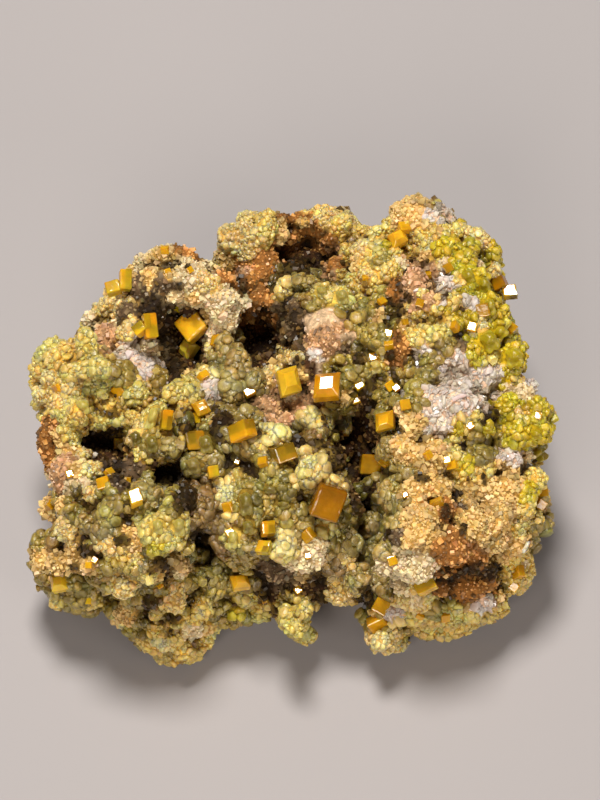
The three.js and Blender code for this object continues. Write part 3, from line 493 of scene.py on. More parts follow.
    ("citrus", 16.2, -7.2, 0.8, 0.6), ("yellow", 9.6, 15.0, 0.7, 0.7), ("straw", 10.6, -20.0, 1.4, 0.7),
    ("quartz", -15.8, 2.5, 1.0, 0.8), ("olive", 3.2, -0.9, 0.7, 0.6), ("olive", 4.0, 8.9, 0.9, 0.7),
    ("cream", 9.8, 13.6, 0.8, 0.7), ("citrus", 22.6, -10.4, 0.8, 0.7), ("grey", 8.2, -15.2, 0.8, 0.7),
    ("tan", 0.2, 2.5, 0.6, 0.7), ("pale", 3.4, -13.9, 0.9, 0.7), ("tan", -23.5, -18.2, 0.9, 0.6),
    ("tan", -3.2, 1.6, 0.6, 0.6), ("pale", -1.6, 11.5, 0.8, 0.8), ("lime", 17.6, -1.6, 0.5, 0.6),
    ("olive", 4.2, -0.5, 0.9, 0.7), ("pale", 16.2, -2.2, 0.8, 0.7), ("cream", 14.6, 13.6, 0.7, 0.6),
    ("cream", 11.4, -20.0, 0.9, 0.6), ("citrus", 22.6, -9.4, 1.0, 1.0), ("olive", -19.0, -0.3, 0.6, 0.6),
    ("grey", -15.6, -16.6, 0.9, 0.7), ("olive", 3.6, 4.0, 0.7, 0.6), ("stone", -17.4, 8.8, 1.0, 0.9),
    ("stone", -12.6, 12.0, 1.0, 0.8), ("stone", 9.8, -13.6, 0.9, 0.9), ("stone", 16.2, 5.6, 0.7, 0.6),
    ("citrus", 16.2, -6.3, 1.0, 1.1), ("citrus", 22.6, -9.6, 0.9, 1.3), ("olive", 8.2, 13.6, 0.9, 0.8),
    ("rust", 3.4, 13.6, 1.0, 0.8), ("lime", 3.4, -13.6, 1.0, 1.0), ("cream", 11.4, -20.0, 1.0, 0.8),
    ("pale", 9.8, -21.6, 0.9, 0.8), ("pale", -9.4, 2.4, 0.9, 0.9), ("cream", 21.0, 0.8, 0.8, 0.7),
    ("straw", 17.8, 7.2, 0.9, 0.9), ("straw", -17.6, -21.8, 1.0, 0.8), ("pale", 5.0, -0.9, 0.9, 0.7),
    ("moss", -12.6, -10.3, 0.9, 1.1), ("moss", -8.3, -4.3, 1.2, 0.9), ("moss", -1.5, -8.8, 0.8, 0.9),
    ("moss", -11.4, -2.6, 0.8, 0.7), ("moss", -4.4, -10.3, 0.6, 0.8), ("moss", -11.2, -15.4, 0.8, 0.7),
    ("moss", 6.3, -8.9, 0.7, 0.8), ("moss", 3.6, -11.7, 0.7, 0.6), ("moss", -15.6, -14.9, 0.6, 0.7),
    ("olive", -1.4, -12.0, 0.8, 0.8), ("mauve", 3.4, -16.8, 1.0, 0.8), ("quartz", 16.3, 4.0, 0.7, 0.8),
    ("quartz", 17.8, 2.4, 0.9, 0.7), ("quartz", 14.4, -2.4, 0.9, 0.7), ("rust", 13.1, -16.6, 0.9, 0.7),
    ("yellow", 16.2, 12.0, 0.9, 0.8), ("citrus", 8.3, 15.3, 0.8, 0.7), ("olive", -17.4, -10.6, 0.8, 0.7),
    ("quartz", -16.9, 4.1, 1.2, 1.0), ("quartz", -15.4, 3.6, 1.0, 0.9), ("quartz", -14.5, 4.6, 0.8, 0.7),
    ("tan", -22.4, -7.0, 0.9, 0.8), ("citrus", -14.3, -13.8, 0.8, 0.7), ("mauve", 1.0, -3.7, 0.7, 0.6),
]

# Dark holes in the front view: x, y, half width, half height, depth in mm, and the turn in degrees where
# there is one.
pits = [
    (-19.4, -3.9, 1.9, 1.0, 3.0), (-19.7, -0.2, 0.7, 0.4, 1.6, 15), (-20.8, -2.0, 0.5, 0.3, 1.4),
    (-13.4, -7.7, 1.5, 1.2, 3.5), (-11.4, -9.6, 0.8, 1.5, 3.0), (-10.0, -13.5, 1.5, 0.9, 3.5, -10),
    (-21.2, -15.0, 1.3, 0.6, 2.0, -20), (-22.6, -16.6, 0.6, 0.4, 1.4), (-17.5, -14.0, 0.5, 0.8, 1.8, 30),
    (-14.0, -16.2, 0.8, 0.9, 2.2), (-15.0, -20.0, 0.9, 1.0, 2.2), (-12.7, -22.0, 0.8, 0.5, 2.0, -20),
    (-3.6, -19.0, 0.8, 1.5, 2.6), (-4.3, -17.2, 0.7, 0.8, 2.0, 30), (1.9, -17.8, 1.2, 0.9, 2.6),
    (-5.0, -6.9, 1.0, 0.7, 2.2), (-7.8, -2.0, 1.0, 1.0, 2.4), (-13.2, 5.2, 1.0, 2.1, 3.0),
    (-15.2, 9.0, 1.2, 0.7, 2.0), (-12.4, 3.2, 0.9, 1.0, 2.4, -20), (-0.6, 8.4, 0.5, 0.7, 1.4),
    (-0.2, 3.8, 0.6, 0.8, 1.6), (0.2, 1.0, 0.6, 0.6, 1.4), (-0.3, -4.4, 1.0, 0.8, 1.8),
    (12.2, -7.8, 0.9, 0.5, 1.8, -20), (14.5, -11.2, 0.5, 0.9, 1.8, -10), (18.4, -8.0, 0.3, 0.8, 1.6, 10),
    (16.3, -12.9, 0.4, 0.6, 1.4), (14.3, -18.1, 1.3, 0.3, 2.0, 15), (17.1, -16.7, 1.6, 0.35, 2.2, 25),
    (9.9, 11.4, 0.4, 0.6, 1.8), (10.2, 9.1, 0.4, 0.5, 1.6), (12.6, 13.6, 0.5, 0.4, 1.4),
    (14.4, 10.2, 0.4, 0.5, 1.4), (9.4, 2.3, 0.4, 1.2, 2.0, 10), (9.0, 4.6, 0.5, 0.9, 1.8),
    (19.0, -1.4, 1.0, 0.7, 2.2), (16.5, -4.7, 0.8, 0.6, 2.0), (24.0, -13.4, 0.6, 0.6, 1.6),
    (10.2, -3.2, 0.5, 0.4, 1.4), (8.0, 9.4, 0.5, 0.5, 1.4), (-11.3, -10.0, 1.1, 1.7, 2.6),
    (-8.3, -2.9, 0.9, 0.9, 1.8), (-0.6, 13.1, 1.6, 0.8, 2.2), (3.6, -6.2, 1.0, 1.1, 2.4),
    (-14.7, 8.6, 1.0, 1.6, 2.0), (6.6, -19.7, 0.8, 1.4, 2.2), (6.9, 1.6, 0.8, 0.7, 2.0),
    (-14.1, -16.1, 0.6, 0.9, 1.8), (5.6, -10.8, 0.8, 0.8, 1.8), (5.8, 4.0, 0.7, 0.8, 1.8),
    (-10.9, -14.0, 0.6, 0.7, 2.0), (19.5, -16.7, 0.6, 0.6, 1.6), (-19.4, -6.8, 0.5, 0.9, 1.6),
    (-7.0, -5.9, 0.6, 0.8, 1.6), (2.1, -19.8, 0.6, 0.7, 1.6), (-11.6, -1.3, 0.5, 0.7, 1.6),
    (0.0, -9.5, 0.4, 0.9, 1.4), (-4.0, -3.4, 0.6, 0.6, 1.4), (-11.5, -2.6, 0.7, 0.4, 1.4),
    (-21.6, -14.9, 0.6, 0.6, 1.6), (-4.5, -7.5, 0.7, 0.5, 1.6), (5.0, 8.5, 0.6, 0.6, 1.6),
    (-2.7, -21.0, 0.5, 0.6, 1.6), (-18.4, -7.9, 0.7, 0.5, 1.4), (7.1, -10.5, 0.6, 0.5, 1.6),
    (-9.3, -17.9, 0.4, 0.6, 1.4), (-18.2, -14.2, 0.5, 0.7, 1.4), (-18.1, -6.5, 0.8, 0.5, 1.4),
    (1.5, -4.5, 0.4, 0.9, 1.4), (8.7, -13.4, 0.4, 0.7, 1.4), (-4.7, 3.8, 0.5, 0.4, 1.4),
    (-13.4, 4.0, 0.5, 0.6, 1.6), (-21.0, -4.6, 0.6, 0.6, 1.6), (2.6, 16.8, 0.4, 0.5, 1.4),
    (2.4, -2.2, 0.4, 0.8, 1.4), (15.9, 6.6, 0.5, 0.5, 1.4), (-1.4, 9.0, 0.4, 0.5, 1.4),
    (-17.3, -11.8, 0.4, 0.6, 1.2), (-17.9, -3.5, 0.4, 0.6, 1.4), (3.3, -3.3, 0.4, 0.5, 1.4),
    (9.9, 8.3, 0.3, 0.6, 1.2), (-15.4, -21.7, 0.4, 0.5, 1.2), (11.5, 3.8, 0.3, 0.5, 1.2),
    (-14.3, 11.3, 0.3, 0.5, 1.0), (-22.7, -16.5, 0.4, 0.5, 1.2), (3.1, -5.1, 0.9, 0.5, 2.0),
    (7.3, -0.4, 0.6, 0.8, 1.8), (-12.1, -10.9, 0.5, 0.9, 1.8), (-8.5, -0.9, 0.6, 0.5, 1.6),
    (0.5, 12.7, 0.9, 0.5, 1.8), (7.3, 2.0, 0.6, 0.5, 1.6), (18.2, -2.3, 0.6, 0.4, 1.6),
    (9.8, 1.8, 0.3, 0.5, 1.4), (6.7, 1.1, 0.6, 1.1, 2.0), (-5.7, 11.4, 0.6, 1.2, 1.8),
    (-13.2, 9.5, 0.8, 0.5, 1.6), (-11.5, -2.9, 0.8, 0.45, 1.6), (-8.7, -14.8, 0.35, 0.6, 1.4),
    (-8.2, -3.8, 0.5, 0.45, 1.4), (-14.7, 10.6, 0.4, 0.4, 1.4), (-12.1, -11.3, 0.5, 0.4, 1.4),
    (15.9, 6.6, 0.4, 0.5, 1.4), (2.7, -5.5, 0.4, 0.4, 1.4), (10.9, 10.2, 0.5, 0.5, 1.4),
    (8.9, 9.8, 0.4, 0.6, 1.4), (-19.4, -0.2, 0.45, 0.4, 1.4), (-18.0, -2.7, 0.4, 0.4, 1.4),
    (-0.1, -9.1, 0.4, 0.35, 1.4), (6.6, -11.1, 0.5, 0.4, 1.4), (11.5, 3.8, 0.35, 0.5, 1.4),
    (-19.2, -1.4, 0.5, 0.4, 1.4), (-14.2, 10.2, 0.8, 0.45, 1.6), (-11.2, 13.4, 0.4, 0.35, 1.4),
    (-12.4, -9.8, 0.4, 0.4, 1.4), (-17.4, -10.4, 0.5, 0.4, 1.4), (-7.9, -4.2, 0.6, 0.5, 1.6),
    (-18.8, -1.4, 0.9, 0.6, 1.8), (-12.4, -10.6, 0.6, 0.5, 1.6), (-15.0, -17.2, 0.5, 0.4, 1.4),
    (-17.6, 8.2, 0.45, 0.4, 1.2), (-12.0, 11.4, 0.4, 0.35, 1.2), (0.3, 13.8, 0.7, 0.5, 1.6),
    (16.9, -8.0, 0.35, 0.35, 1.2), (5.0, -7.3, 0.8, 0.7, 2.0), (6.6, -8.9, 0.5, 0.6, 1.8),
    (1.7, -4.5, 0.9, 0.7, 2.0), (2.6, -4.9, 0.5, 0.6, 1.6),
]


# Two ways, or two coordinates, turned by some degrees.
def turned(first, second, degrees=0):
    c, s = math.cos(math.radians(degrees)), math.sin(math.radians(degrees))
    return first * c + second * s, second * c - first * s


# Axes of a form that is placed in the front view: along its width, along its height and outwards.
def axesInView(turn=0):
    return np.array([*turned(viewRight, viewUp, turn), viewOut])


# Middles, axes and half sizes in metres of listed clumps or crystals, and their kinds as numbers.
# They are as deep as they are wide and high on average, and rise tells how far each stands out, in mm.
def formsOf(rows, tree, rise):
    middles, axes, sizes, numbers = [], [], [], []
    for kind, x, y, wide, high, *turn in rows:
        deep = 0.5 * (wide + high)
        middles.append(placeOn(tree, x, y) + viewOut * rise(deep) * mm)
        axes.append(axesInView(*turn))
        sizes.append(np.array([wide, high, deep]) * mm)
        numbers.append(kindNames.index(kind))
    return np.array(middles), np.array(axes), np.array(sizes), np.array(numbers)


# Where the kinds of ground and the shade of the pits end.
groundShape = {
    "wander": (0.5, 2.6),  # of the patches' edges: how far and over what length, in mm
    "fade": 0.8,  # how fast a patch weakens outwards
    "weakest": 0.12,  # the ground of the back lies where every patch is weaker
    "facing": -0.2,  # and where the skin is turned further away from the eye than this
    "clumpReach": 1.25,  # how far a clump's kind spreads, in its half sizes
    "clumpNear": 3.2 * mm,  # and at most
    "clumpWander": (0.18, 1.4),  # how uneven that is, and over what length in mm
    "pitShade": ([0.5, 1.5], [0.2, 1]),  # squared way from a pit's middle in half sizes, and brightness
}


# The kind of ground at each point, as a number.
def kindAt(points, normals):
    wave = placeInView(points)
    far, length = groundShape["wander"]
    wave[:, 0] += far * waves(points / mm, length, 11)
    wave[:, 1] += far * waves(points / mm, length, 12)
    best = np.full(len(points), groundShape["weakest"])
    found = np.full(len(points), kindNames.index("back"))
    for kind, x, y, wide, high, strength in patches:
        reach = ((wave[:, 0] - x) / wide) ** 2 + ((wave[:, 1] - y) / high) ** 2
        score = strength * np.exp(-groundShape["fade"] * reach)
        better = score > best
        best[better] = score[better]
        found[better] = kindNames.index(kind)
    outward = (normals * unit(np.array(eye) - points)).sum(axis=1)
    found[outward < groundShape["facing"]] = kindNames.index("back")
    nearest = np.full(len(points), groundShape["clumpReach"] ** 2)
    far, length = groundShape["clumpWander"]
    rough = 1 + far * waves(points / mm, length, 13)
    for middle, axes, size, kind in zip(*clumpForms):
        near = np.abs(points - middle).max(axis=1) < groundShape["clumpNear"]
        away = (((points[near] - middle) @ axes.T / size) ** 2).sum(axis=1) * rough[near]
        closer = np.zeros(len(points), dtype=bool)
        closer[near] = away < nearest[near]
        nearest[near] = np.minimum(nearest[near], away)
        found[closer] = kind
    return found


# How dark the pits are: 1 beside them, and low in their middle.
def pitShade(points):
    seen = placeInView(points)
    shade = np.ones(len(points))
    for x, y, wide, tall, _, *turn in pits:
        across, up = turned(seen[:, 0] - x, seen[:, 1] - y, *turn)
        reach = (across / wide) ** 2 + (up / tall) ** 2
        shade = np.minimum(shade, np.interp(reach, *groundShape["pitShade"]))
    return shade


# Shapes that repeat: each is modelled once, of radius about 1, and its arrays are copied.

def arraysOf(obj):
    points, tris = pointsOf(obj.data), trianglesOf(obj.data)
    bpy.data.objects.remove(obj)
    return points, tris


# Selects the faces whose middle passes a test, and stays in edit mode.
def editFaces(obj, test):
    bpy.ops.object.mode_set(mode="EDIT")
    bpy.ops.mesh.select_mode(type="FACE")
    bpy.ops.mesh.select_all(action="DESELECT")
    bpy.ops.object.mode_set(mode="OBJECT")
    for polygon in obj.data.polygons:
        polygon.select = test(polygon.center)
    bpy.ops.object.mode_set(mode="EDIT")


def makeBall():
    bpy.ops.mesh.primitive_ico_sphere_add(subdivisions=2, radius=1)
    return arraysOf(bpy.context.object)


# A low drum with a flat top and a slanting shoulder.
def makeDrum(sides, shoulder):
    bpy.ops.mesh.primitive_cylinder_add(vertices=sides, radius=1, depth=0.8, end_fill_type="TRIFAN")
    drum = bpy.context.object
    editFaces(drum, lambda middle: middle.z < -0.39)
    bpy.ops.transform.resize(value=(0.7, 0.7, 1))
    editFaces(drum, lambda middle: middle.z > 0.39)
    bpy.ops.mesh.extrude_region_move(TRANSFORM_OT_translate={"value": (0, 0, 0.25)})
    bpy.ops.transform.resize(value=(shoulder, shoulder, 1))
    bpy.ops.object.mode_set(mode="OBJECT")
    return arraysOf(drum)


# A bead of pyromorphite, rounded by its shading.
def makeBead():
    return makeDrum(8, 0.6)


# A low, six-sided bud of pyromorphite.
def makeBud():
    return makeDrum(6, 0.68)


# A stubby six-sided crystal of pyromorphite with a sunken end.
def makeBarrel():
    bpy.ops.mesh.primitive_cylinder_add(vertices=6, radius=0.78, depth=1.5)
    barrel = bpy.context.object
    editFaces(barrel, lambda middle: middle.z > 0.7)
    bpy.ops.mesh.extrude_region_move(TRANSFORM_OT_translate={"value": (0, 0, 0.2)})
    bpy.ops.transform.resize(value=(0.8, 0.8, 1))
    bpy.ops.mesh.inset(thickness=0.16, depth=-0.12)
    bpy.ops.object.mode_set(mode="OBJECT")
    return arraysOf(barrel)


# A crumb: a block with one end smaller than the other.
def makeGrain():
    bpy.ops.mesh.primitive_cube_add(size=1.7)
    grain = bpy.context.object
    editFaces(grain, lambda middle: middle.z > 0.5)
    bpy.ops.transform.resize(value=(0.6, 0.75, 1))
    bpy.ops.transform.translate(value=(0.12, 0.1, 0))
    bpy.ops.object.mode_set(mode="OBJECT")
    return arraysOf(grain)


# A splinter of quartz: a long block, its ends and an edge cut off in slanting planes.
def makeShard():
    bpy.ops.mesh.primitive_cube_add(size=2)
    shard = bpy.context.object
    editFaces(shard, lambda middle: True)
    bpy.ops.transform.resize(value=(1.25, 0.75, 0.5))
    cuts = [
        ((0.7, 0, 0.3), (0.6, 0.1, 0.6)),
        ((-0.8, 0, 0.2), (-0.5, 0.5, 0.5)),
        ((0.1, 0.4, 0.3), (0.1, 0.8, 0.6)),
    ]
    for place, normal in cuts:
        bpy.ops.mesh.select_all(action="SELECT")
        bpy.ops.mesh.bisect(plane_co=place, plane_no=normal, use_fill=True, clear_outer=True)
    bpy.ops.object.mode_set(mode="OBJECT")
    return arraysOf(shard)


# A square crystal of wulfenite, its edges cut off and a low step grown on each face.
def makeBlock():
    bpy.ops.mesh.primitive_cube_add(size=2)
    block = bpy.context.object
    editFaces(block, lambda middle: True)
    bpy.ops.mesh.bevel(offset=0.09, segments=1)
    editFaces(block, lambda middle: max(abs(middle.x), abs(middle.y), abs(middle.z)) > 0.99)
    bpy.ops.mesh.inset(thickness=0.12, depth=0.03, use_individual=True)
    bpy.ops.object.mode_set(mode="OBJECT")
    return arraysOf(block)


# A crystal of wulfenite whose front is a blunt four-sided point.
def makePoint():
    bpy.ops.mesh.primitive_cube_add(size=2)
    point = bpy.context.object
    editFaces(point, lambda middle: middle.z > 0.9)
    bpy.ops.transform.translate(value=(0, 0, -0.75))
    bpy.ops.mesh.extrude_region_move(TRANSFORM_OT_translate={"value": (0, 0, 0.75)})
    bpy.ops.transform.resize(value=(0.52, 0.52, 1))
    bpy.ops.mesh.select_all(action="SELECT")
    bpy.ops.mesh.bevel(offset=0.05, segments=1)
    bpy.ops.object.mode_set(mode="OBJECT")
    return arraysOf(point)


# One mesh of a shape's copies. Each has a middle, three axes as rows, three half sizes and a colour.
# The painted light, one value for each point of the shape: painted shade above 1, a painted glow below.
def copiesMesh(name, shape, middles, axes, sizes, colours=None, paintedLight=None, smooth=True):
    points, tris = shape
    count = len(middles)
    placed = np.einsum("pk,nk,nkd->npd", points, sizes, axes) + middles[:, None, :]
    faces = tris[None, :, :] + (np.arange(count) * len(points))[:, None, None]
    total = count * len(tris)
    mesh = bpy.data.meshes.new(name)
    mesh.vertices.add(count * len(points))
    mesh.vertices.foreach_set("co", placed.ravel())
    mesh.loops.add(total * 3)
    mesh.loops.foreach_set("vertex_index", faces.ravel())
    mesh.polygons.add(total)
    mesh.polygons.foreach_set("loop_start", np.arange(total) * 3)
    mesh.polygons.foreach_set("use_smooth", np.full(total, smooth))
    mesh.update()
    colours = np.ones((count, 3)) if colours is None else colours
    paintedLight = np.ones(len(points)) if paintedLight is None else paintedLight
    # Painted glow where the value is below 1, painted shade where it is above 1.
    paler = colours[:, None, :] ** np.minimum(paintedLight, 1)[None, :, None]
    shaded = 1.9 - 0.9 * np.maximum(paintedLight, 1)[None, :, None]
    setColours(mesh, (paler * shaded).reshape(-1, 3).clip(0.002, 0.95))
    obj = bpy.data.objects.new(name, mesh)
    bpy.context.collection.objects.link(obj)
    return obj


# Axes for copies that grow along the given ways, leaning a little and turned at random.
def growingAxes(ways, lean, rng):
    out = unit(ways + rng.normal(size=ways.shape) * lean)
    side = unit(np.cross(out, rng.normal(size=ways.shape)))
    return np.stack([side, np.cross(out, side), out], axis=1)


# Axes for splinters that lie in the skin and run up to the right, more or less.
lying = {"right": 0.75, "up": 0.6, "stray": 0.7, "lean": 0.35}


def lyingAxes(ways, rng):
    along = viewRight * lying["right"] + viewUp * lying["up"] + rng.normal(size=ways.shape) * lying["stray"]
    out = unit(ways + rng.normal(size=ways.shape) * lying["lean"])
    side = unit(along - out * (along * out).sum(axis=1)[:, None])
    return np.stack([side, np.cross(out, side), out], axis=1)


def randomSizes(radii, stretch, rng):
    return radii[:, None] * (1 + rng.uniform(-stretch, stretch, (len(radii), 3)))


# Even random places on an object's skin, with their normals.
def placesOn(obj, density, rng):
    tris = trianglesOf(obj.data)
    points, normals = pointsOf(obj.data), pointsOf(obj.data, "normal")
    sides = points[tris][:, 1:] - points[tris][:, :1]
    area = np.linalg.norm(np.cross(sides[:, 0], sides[:, 1]), axis=1) / 2
    count = int(area.sum() * density / mm ** 2)
    tri = tris[rng.choice(len(tris), count, p=area / area.sum())]
    weight = rng.dirichlet((1, 1, 1), count)[:, :, None]
    return (points[tri] * weight).sum(axis=1), unit((normals[tri] * weight).sum(axis=1))


# Goes through places in order and keeps those that leave each other enough room.
def thinned(places, room):
    cell = room.max()
    keys = np.floor(places / cell).astype(int)
    cells, kept = {}, []
    around = [(i, j, k) for i in (-1, 0, 1) for j in (-1, 0, 1) for k in (-1, 0, 1)]
    points, keys, rooms = places.tolist(), keys.tolist(), room.tolist()
    for i, (x, y, z) in enumerate(points):
        kx, ky, kz = keys[i]
        half = rooms[i] / 2
        free = True
        for dx, dy, dz in around:
            for qx, qy, qz, other in cells.get((kx + dx, ky + dy, kz + dz), ()):
                gap = half + other
                if (x - qx) ** 2 + (y - qy) ** 2 + (z - qz) ** 2 < gap * gap:
                    free = False
                    break
            if not free:
                break
        if free:
            kept.append(i)
            cells.setdefault((kx, ky, kz), []).append((x, y, z, half))
    return np.array(kept)


# The matrix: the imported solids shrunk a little, with clumps grown on them and holes sunk in them.
matrixShape = {
    "coarse": 0.60 * mm,  # voxels that weld the solids
    "fine": 0.43 * mm,  # voxels of the finished piece
    "shrink": 1.3 * mm,
    "clumpSink": 0.55,  # of the middles of the listed clumps, under the imported skin in mm
    "bigSink": (0.7, 1.1),  # and how much more for each mm that their half depth is over the second
    "lumpDensity": 2.5,  # candidates per square mm for the lumps between the listed clumps
    "lumpRadius": (0.50, 1.05),  # in mm
    "lumpRoom": 2.1,  # in radii
    "lumpSink": (0.6, 0.1 * mm),  # of their middles under the skin, in radii and besides
    "lumpLean": 0.3,
    "lumpStretch": 0.25,
    "backLumps": 1.3,  # how much bigger they are on the back
    "pitSink": 0.35,  # of a pit's middle, in its depth
    "pitFine": 0.2 * mm,  # voxels of the pits
    "grain": (0.8 * mm, 0.22 * mm),  # size and rise
    "lowest": 0.05 * mm,  # above the table
    "mottle": ((1.3, 0.25), (4.0, 0.2)),  # lengths in mm over which its colour changes, and how much
    "depthShade": ([0.3, 1.3], [1, 0.15]),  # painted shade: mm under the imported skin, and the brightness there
    "darkest": (0.022, 0.011, 0.003),
}


def clumpRise(deep):
    more, start = matrixShape["bigSink"]
    return -matrixShape["clumpSink"] - more * max(0, deep - start)


# Middles, axes and half sizes in metres of the pits.
def pitForms():
    middles, axes, sizes = [], [], []
    for x, y, wide, tall, deep, *turn in pits:
        middles.append(placeOn(bodyTree, x, y) - viewOut * matrixShape["pitSink"] * deep * mm)
        axes.append(axesInView(*turn))
        sizes.append(np.array([wide, tall, deep]) * mm)
    return np.array(middles), np.array(axes), np.array(sizes)


def roughen(obj, size, rise):
    texture = bpy.data.textures.new("grain", "CLOUDS")
    texture.noise_scale = size
    texture.noise_depth = 2
    applyModifier(obj, "DISPLACE", texture=texture, texture_coords="LOCAL", strength=rise, mid_level=0.5)


def biggestPart(obj):
    selectOnly(obj)
    bpy.ops.mesh.separate(type="LOOSE")
    parts = sorted(bpy.context.selected_objects, key=lambda part: len(part.data.vertices))
    for part in parts[:-1]:
        bpy.data.objects.remove(part)
    return parts[-1]


# Smaller lumps at random between the listed clumps.
def makeLumps(rock, ball, rng):
    places, ways = placesOn(rock, matrixShape["lumpDensity"], rng)
    low, high = matrixShape["lumpRadius"]
    radii = rng.uniform(low, high, len(places)) * mm
    radii[kindAt(places, ways) == kindNames.index("back")] *= matrixShape["backLumps"]
    handMiddles, _, handSizes, _ = clumpForms
    places = np.concatenate([handMiddles, places])
    radii = np.concatenate([handSizes.mean(axis=1), radii])
    kept = thinned(places, radii * matrixShape["lumpRoom"])
    kept = kept[kept >= len(handMiddles)]
    places, radii = places[kept], radii[kept]
    ways = ways[kept - len(handMiddles)]
    share, more = matrixShape["lumpSink"]
    middles = places - ways * (share * radii + more)[:, None]
    axes = growingAxes(ways, matrixShape["lumpLean"], rng)
    sizes = randomSizes(radii, matrixShape["lumpStretch"], rng)
    return copiesMesh("lumps", ball, middles, axes, sizes)


def makeMatrix():
    ball = makeBall()
    rock = joined([copyOfNode(node, node + "Copy") for node in bodyNodes])
    rock.name = "matrixRock"
    remesh(rock, matrixShape["coarse"])
    lumps = makeLumps(rock, ball, np.random.default_rng(3))
    applyModifier(rock, "DISPLACE", strength=-matrixShape["shrink"], mid_level=0)
    remesh(rock, matrixShape["coarse"])
    rock = joined([rock, lumps, copiesMesh("handLumps", ball, *clumpForms[:3])])
    remesh(rock, matrixShape["fine"])
    holes = copiesMesh("holes", ball, *pitForms())
    remesh(holes, matrixShape["pitFine"])
    applyModifier(rock, "BOOLEAN", operation="DIFFERENCE", object=holes, solver="FAST")
    bpy.data.objects.remove(holes)
    remesh(rock, matrixShape["fine"])
    applyModifier(rock, "SMOOTH", factor=0.5, iterations=2)
    rock = biggestPart(rock)
    roughen(rock, *matrixShape["grain"])
    points = pointsOf(rock.data)
    points[:, 2] = points[:, 2].clip(matrixShape["lowest"], None)
    rock.data.vertices.foreach_set("co", points.ravel())
    rock.data.update()
    return rock


clumpForms = formsOf(clumps, bodyTree, clumpRise)
rock = makeMatrix()
rockTree = BVHTree.FromPolygons(pointsOf(rock.data).tolist(), trianglesOf(rock.data).tolist())
print("matrix", len(rock.data.polygons), "faces")


# Single crystals that stand out in the front view: kind, x, y, half width, half height, and the turn in
# degrees where there is one.
gems = [
    ("lime", -21.7, -0.6, 0.95, 0.95), ("lime", -14.7, -1.7, 0.8, 1.6, -25),
    ("olive", -16.4, -3.7, 0.75, 0.95, 10), ("olive", -14.8, -4.3, 0.85, 1.1),
    ("olive", -9.4, -4.3, 1.0, 1.2), ("grey", -10.7, -6.5, 1.1, 1.05),
    ("pale", -6.3, -7.5, 0.45, 0.9, 10), ("lime", -6.7, -13.8, 0.75, 1.2, -10),
    ("olive", -5.4, -10.2, 0.95, 1.5), ("olive", -5.2, -12.6, 0.8, 0.8),
    ("olive", -1.6, -10.4, 0.8, 0.55, 10), ("olive", -3.0, -8.9, 0.9, 0.5),
    ("lime", -12.1, -12.6, 0.85, 1.15), ("lime", -14.2, -12.6, 0.7, 0.95),
    ("pale", 2.1, -13.2, 1.0, 0.95), ("citrus", 16.0, -2.6, 0.5, 0.85), ("citrus", 18.7, -2.9, 0.75, 0.5),
    ("citrus", 21.4, 4.4, 1.3, 1.3), ("citrus", 18.9, 6.0, 1.2, 1.4, 20),
    ("citrus", 20.0, 6.8, 1.0, 0.8, 30), ("citrus", 18.4, 11.6, 0.9, 1.1),
    ("citrus", 16.8, 12.4, 1.0, 0.9), ("citrus", 19.0, 9.4, 0.8, 1.1), ("citrus", 23.6, -3.4, 0.8, 0.7),
    ("lime", 2.2, 10.9, 0.8, 0.7), ("lime", 4.2, 10.4, 0.9, 1.0), ("pale", 7.6, 3.4, 0.8, 0.9),
    ("quartz", -9.0, 7.4, 0.4, 1.3, -20), ("quartz", 22.6, -14.6, 0.35, 0.9, -35),
]

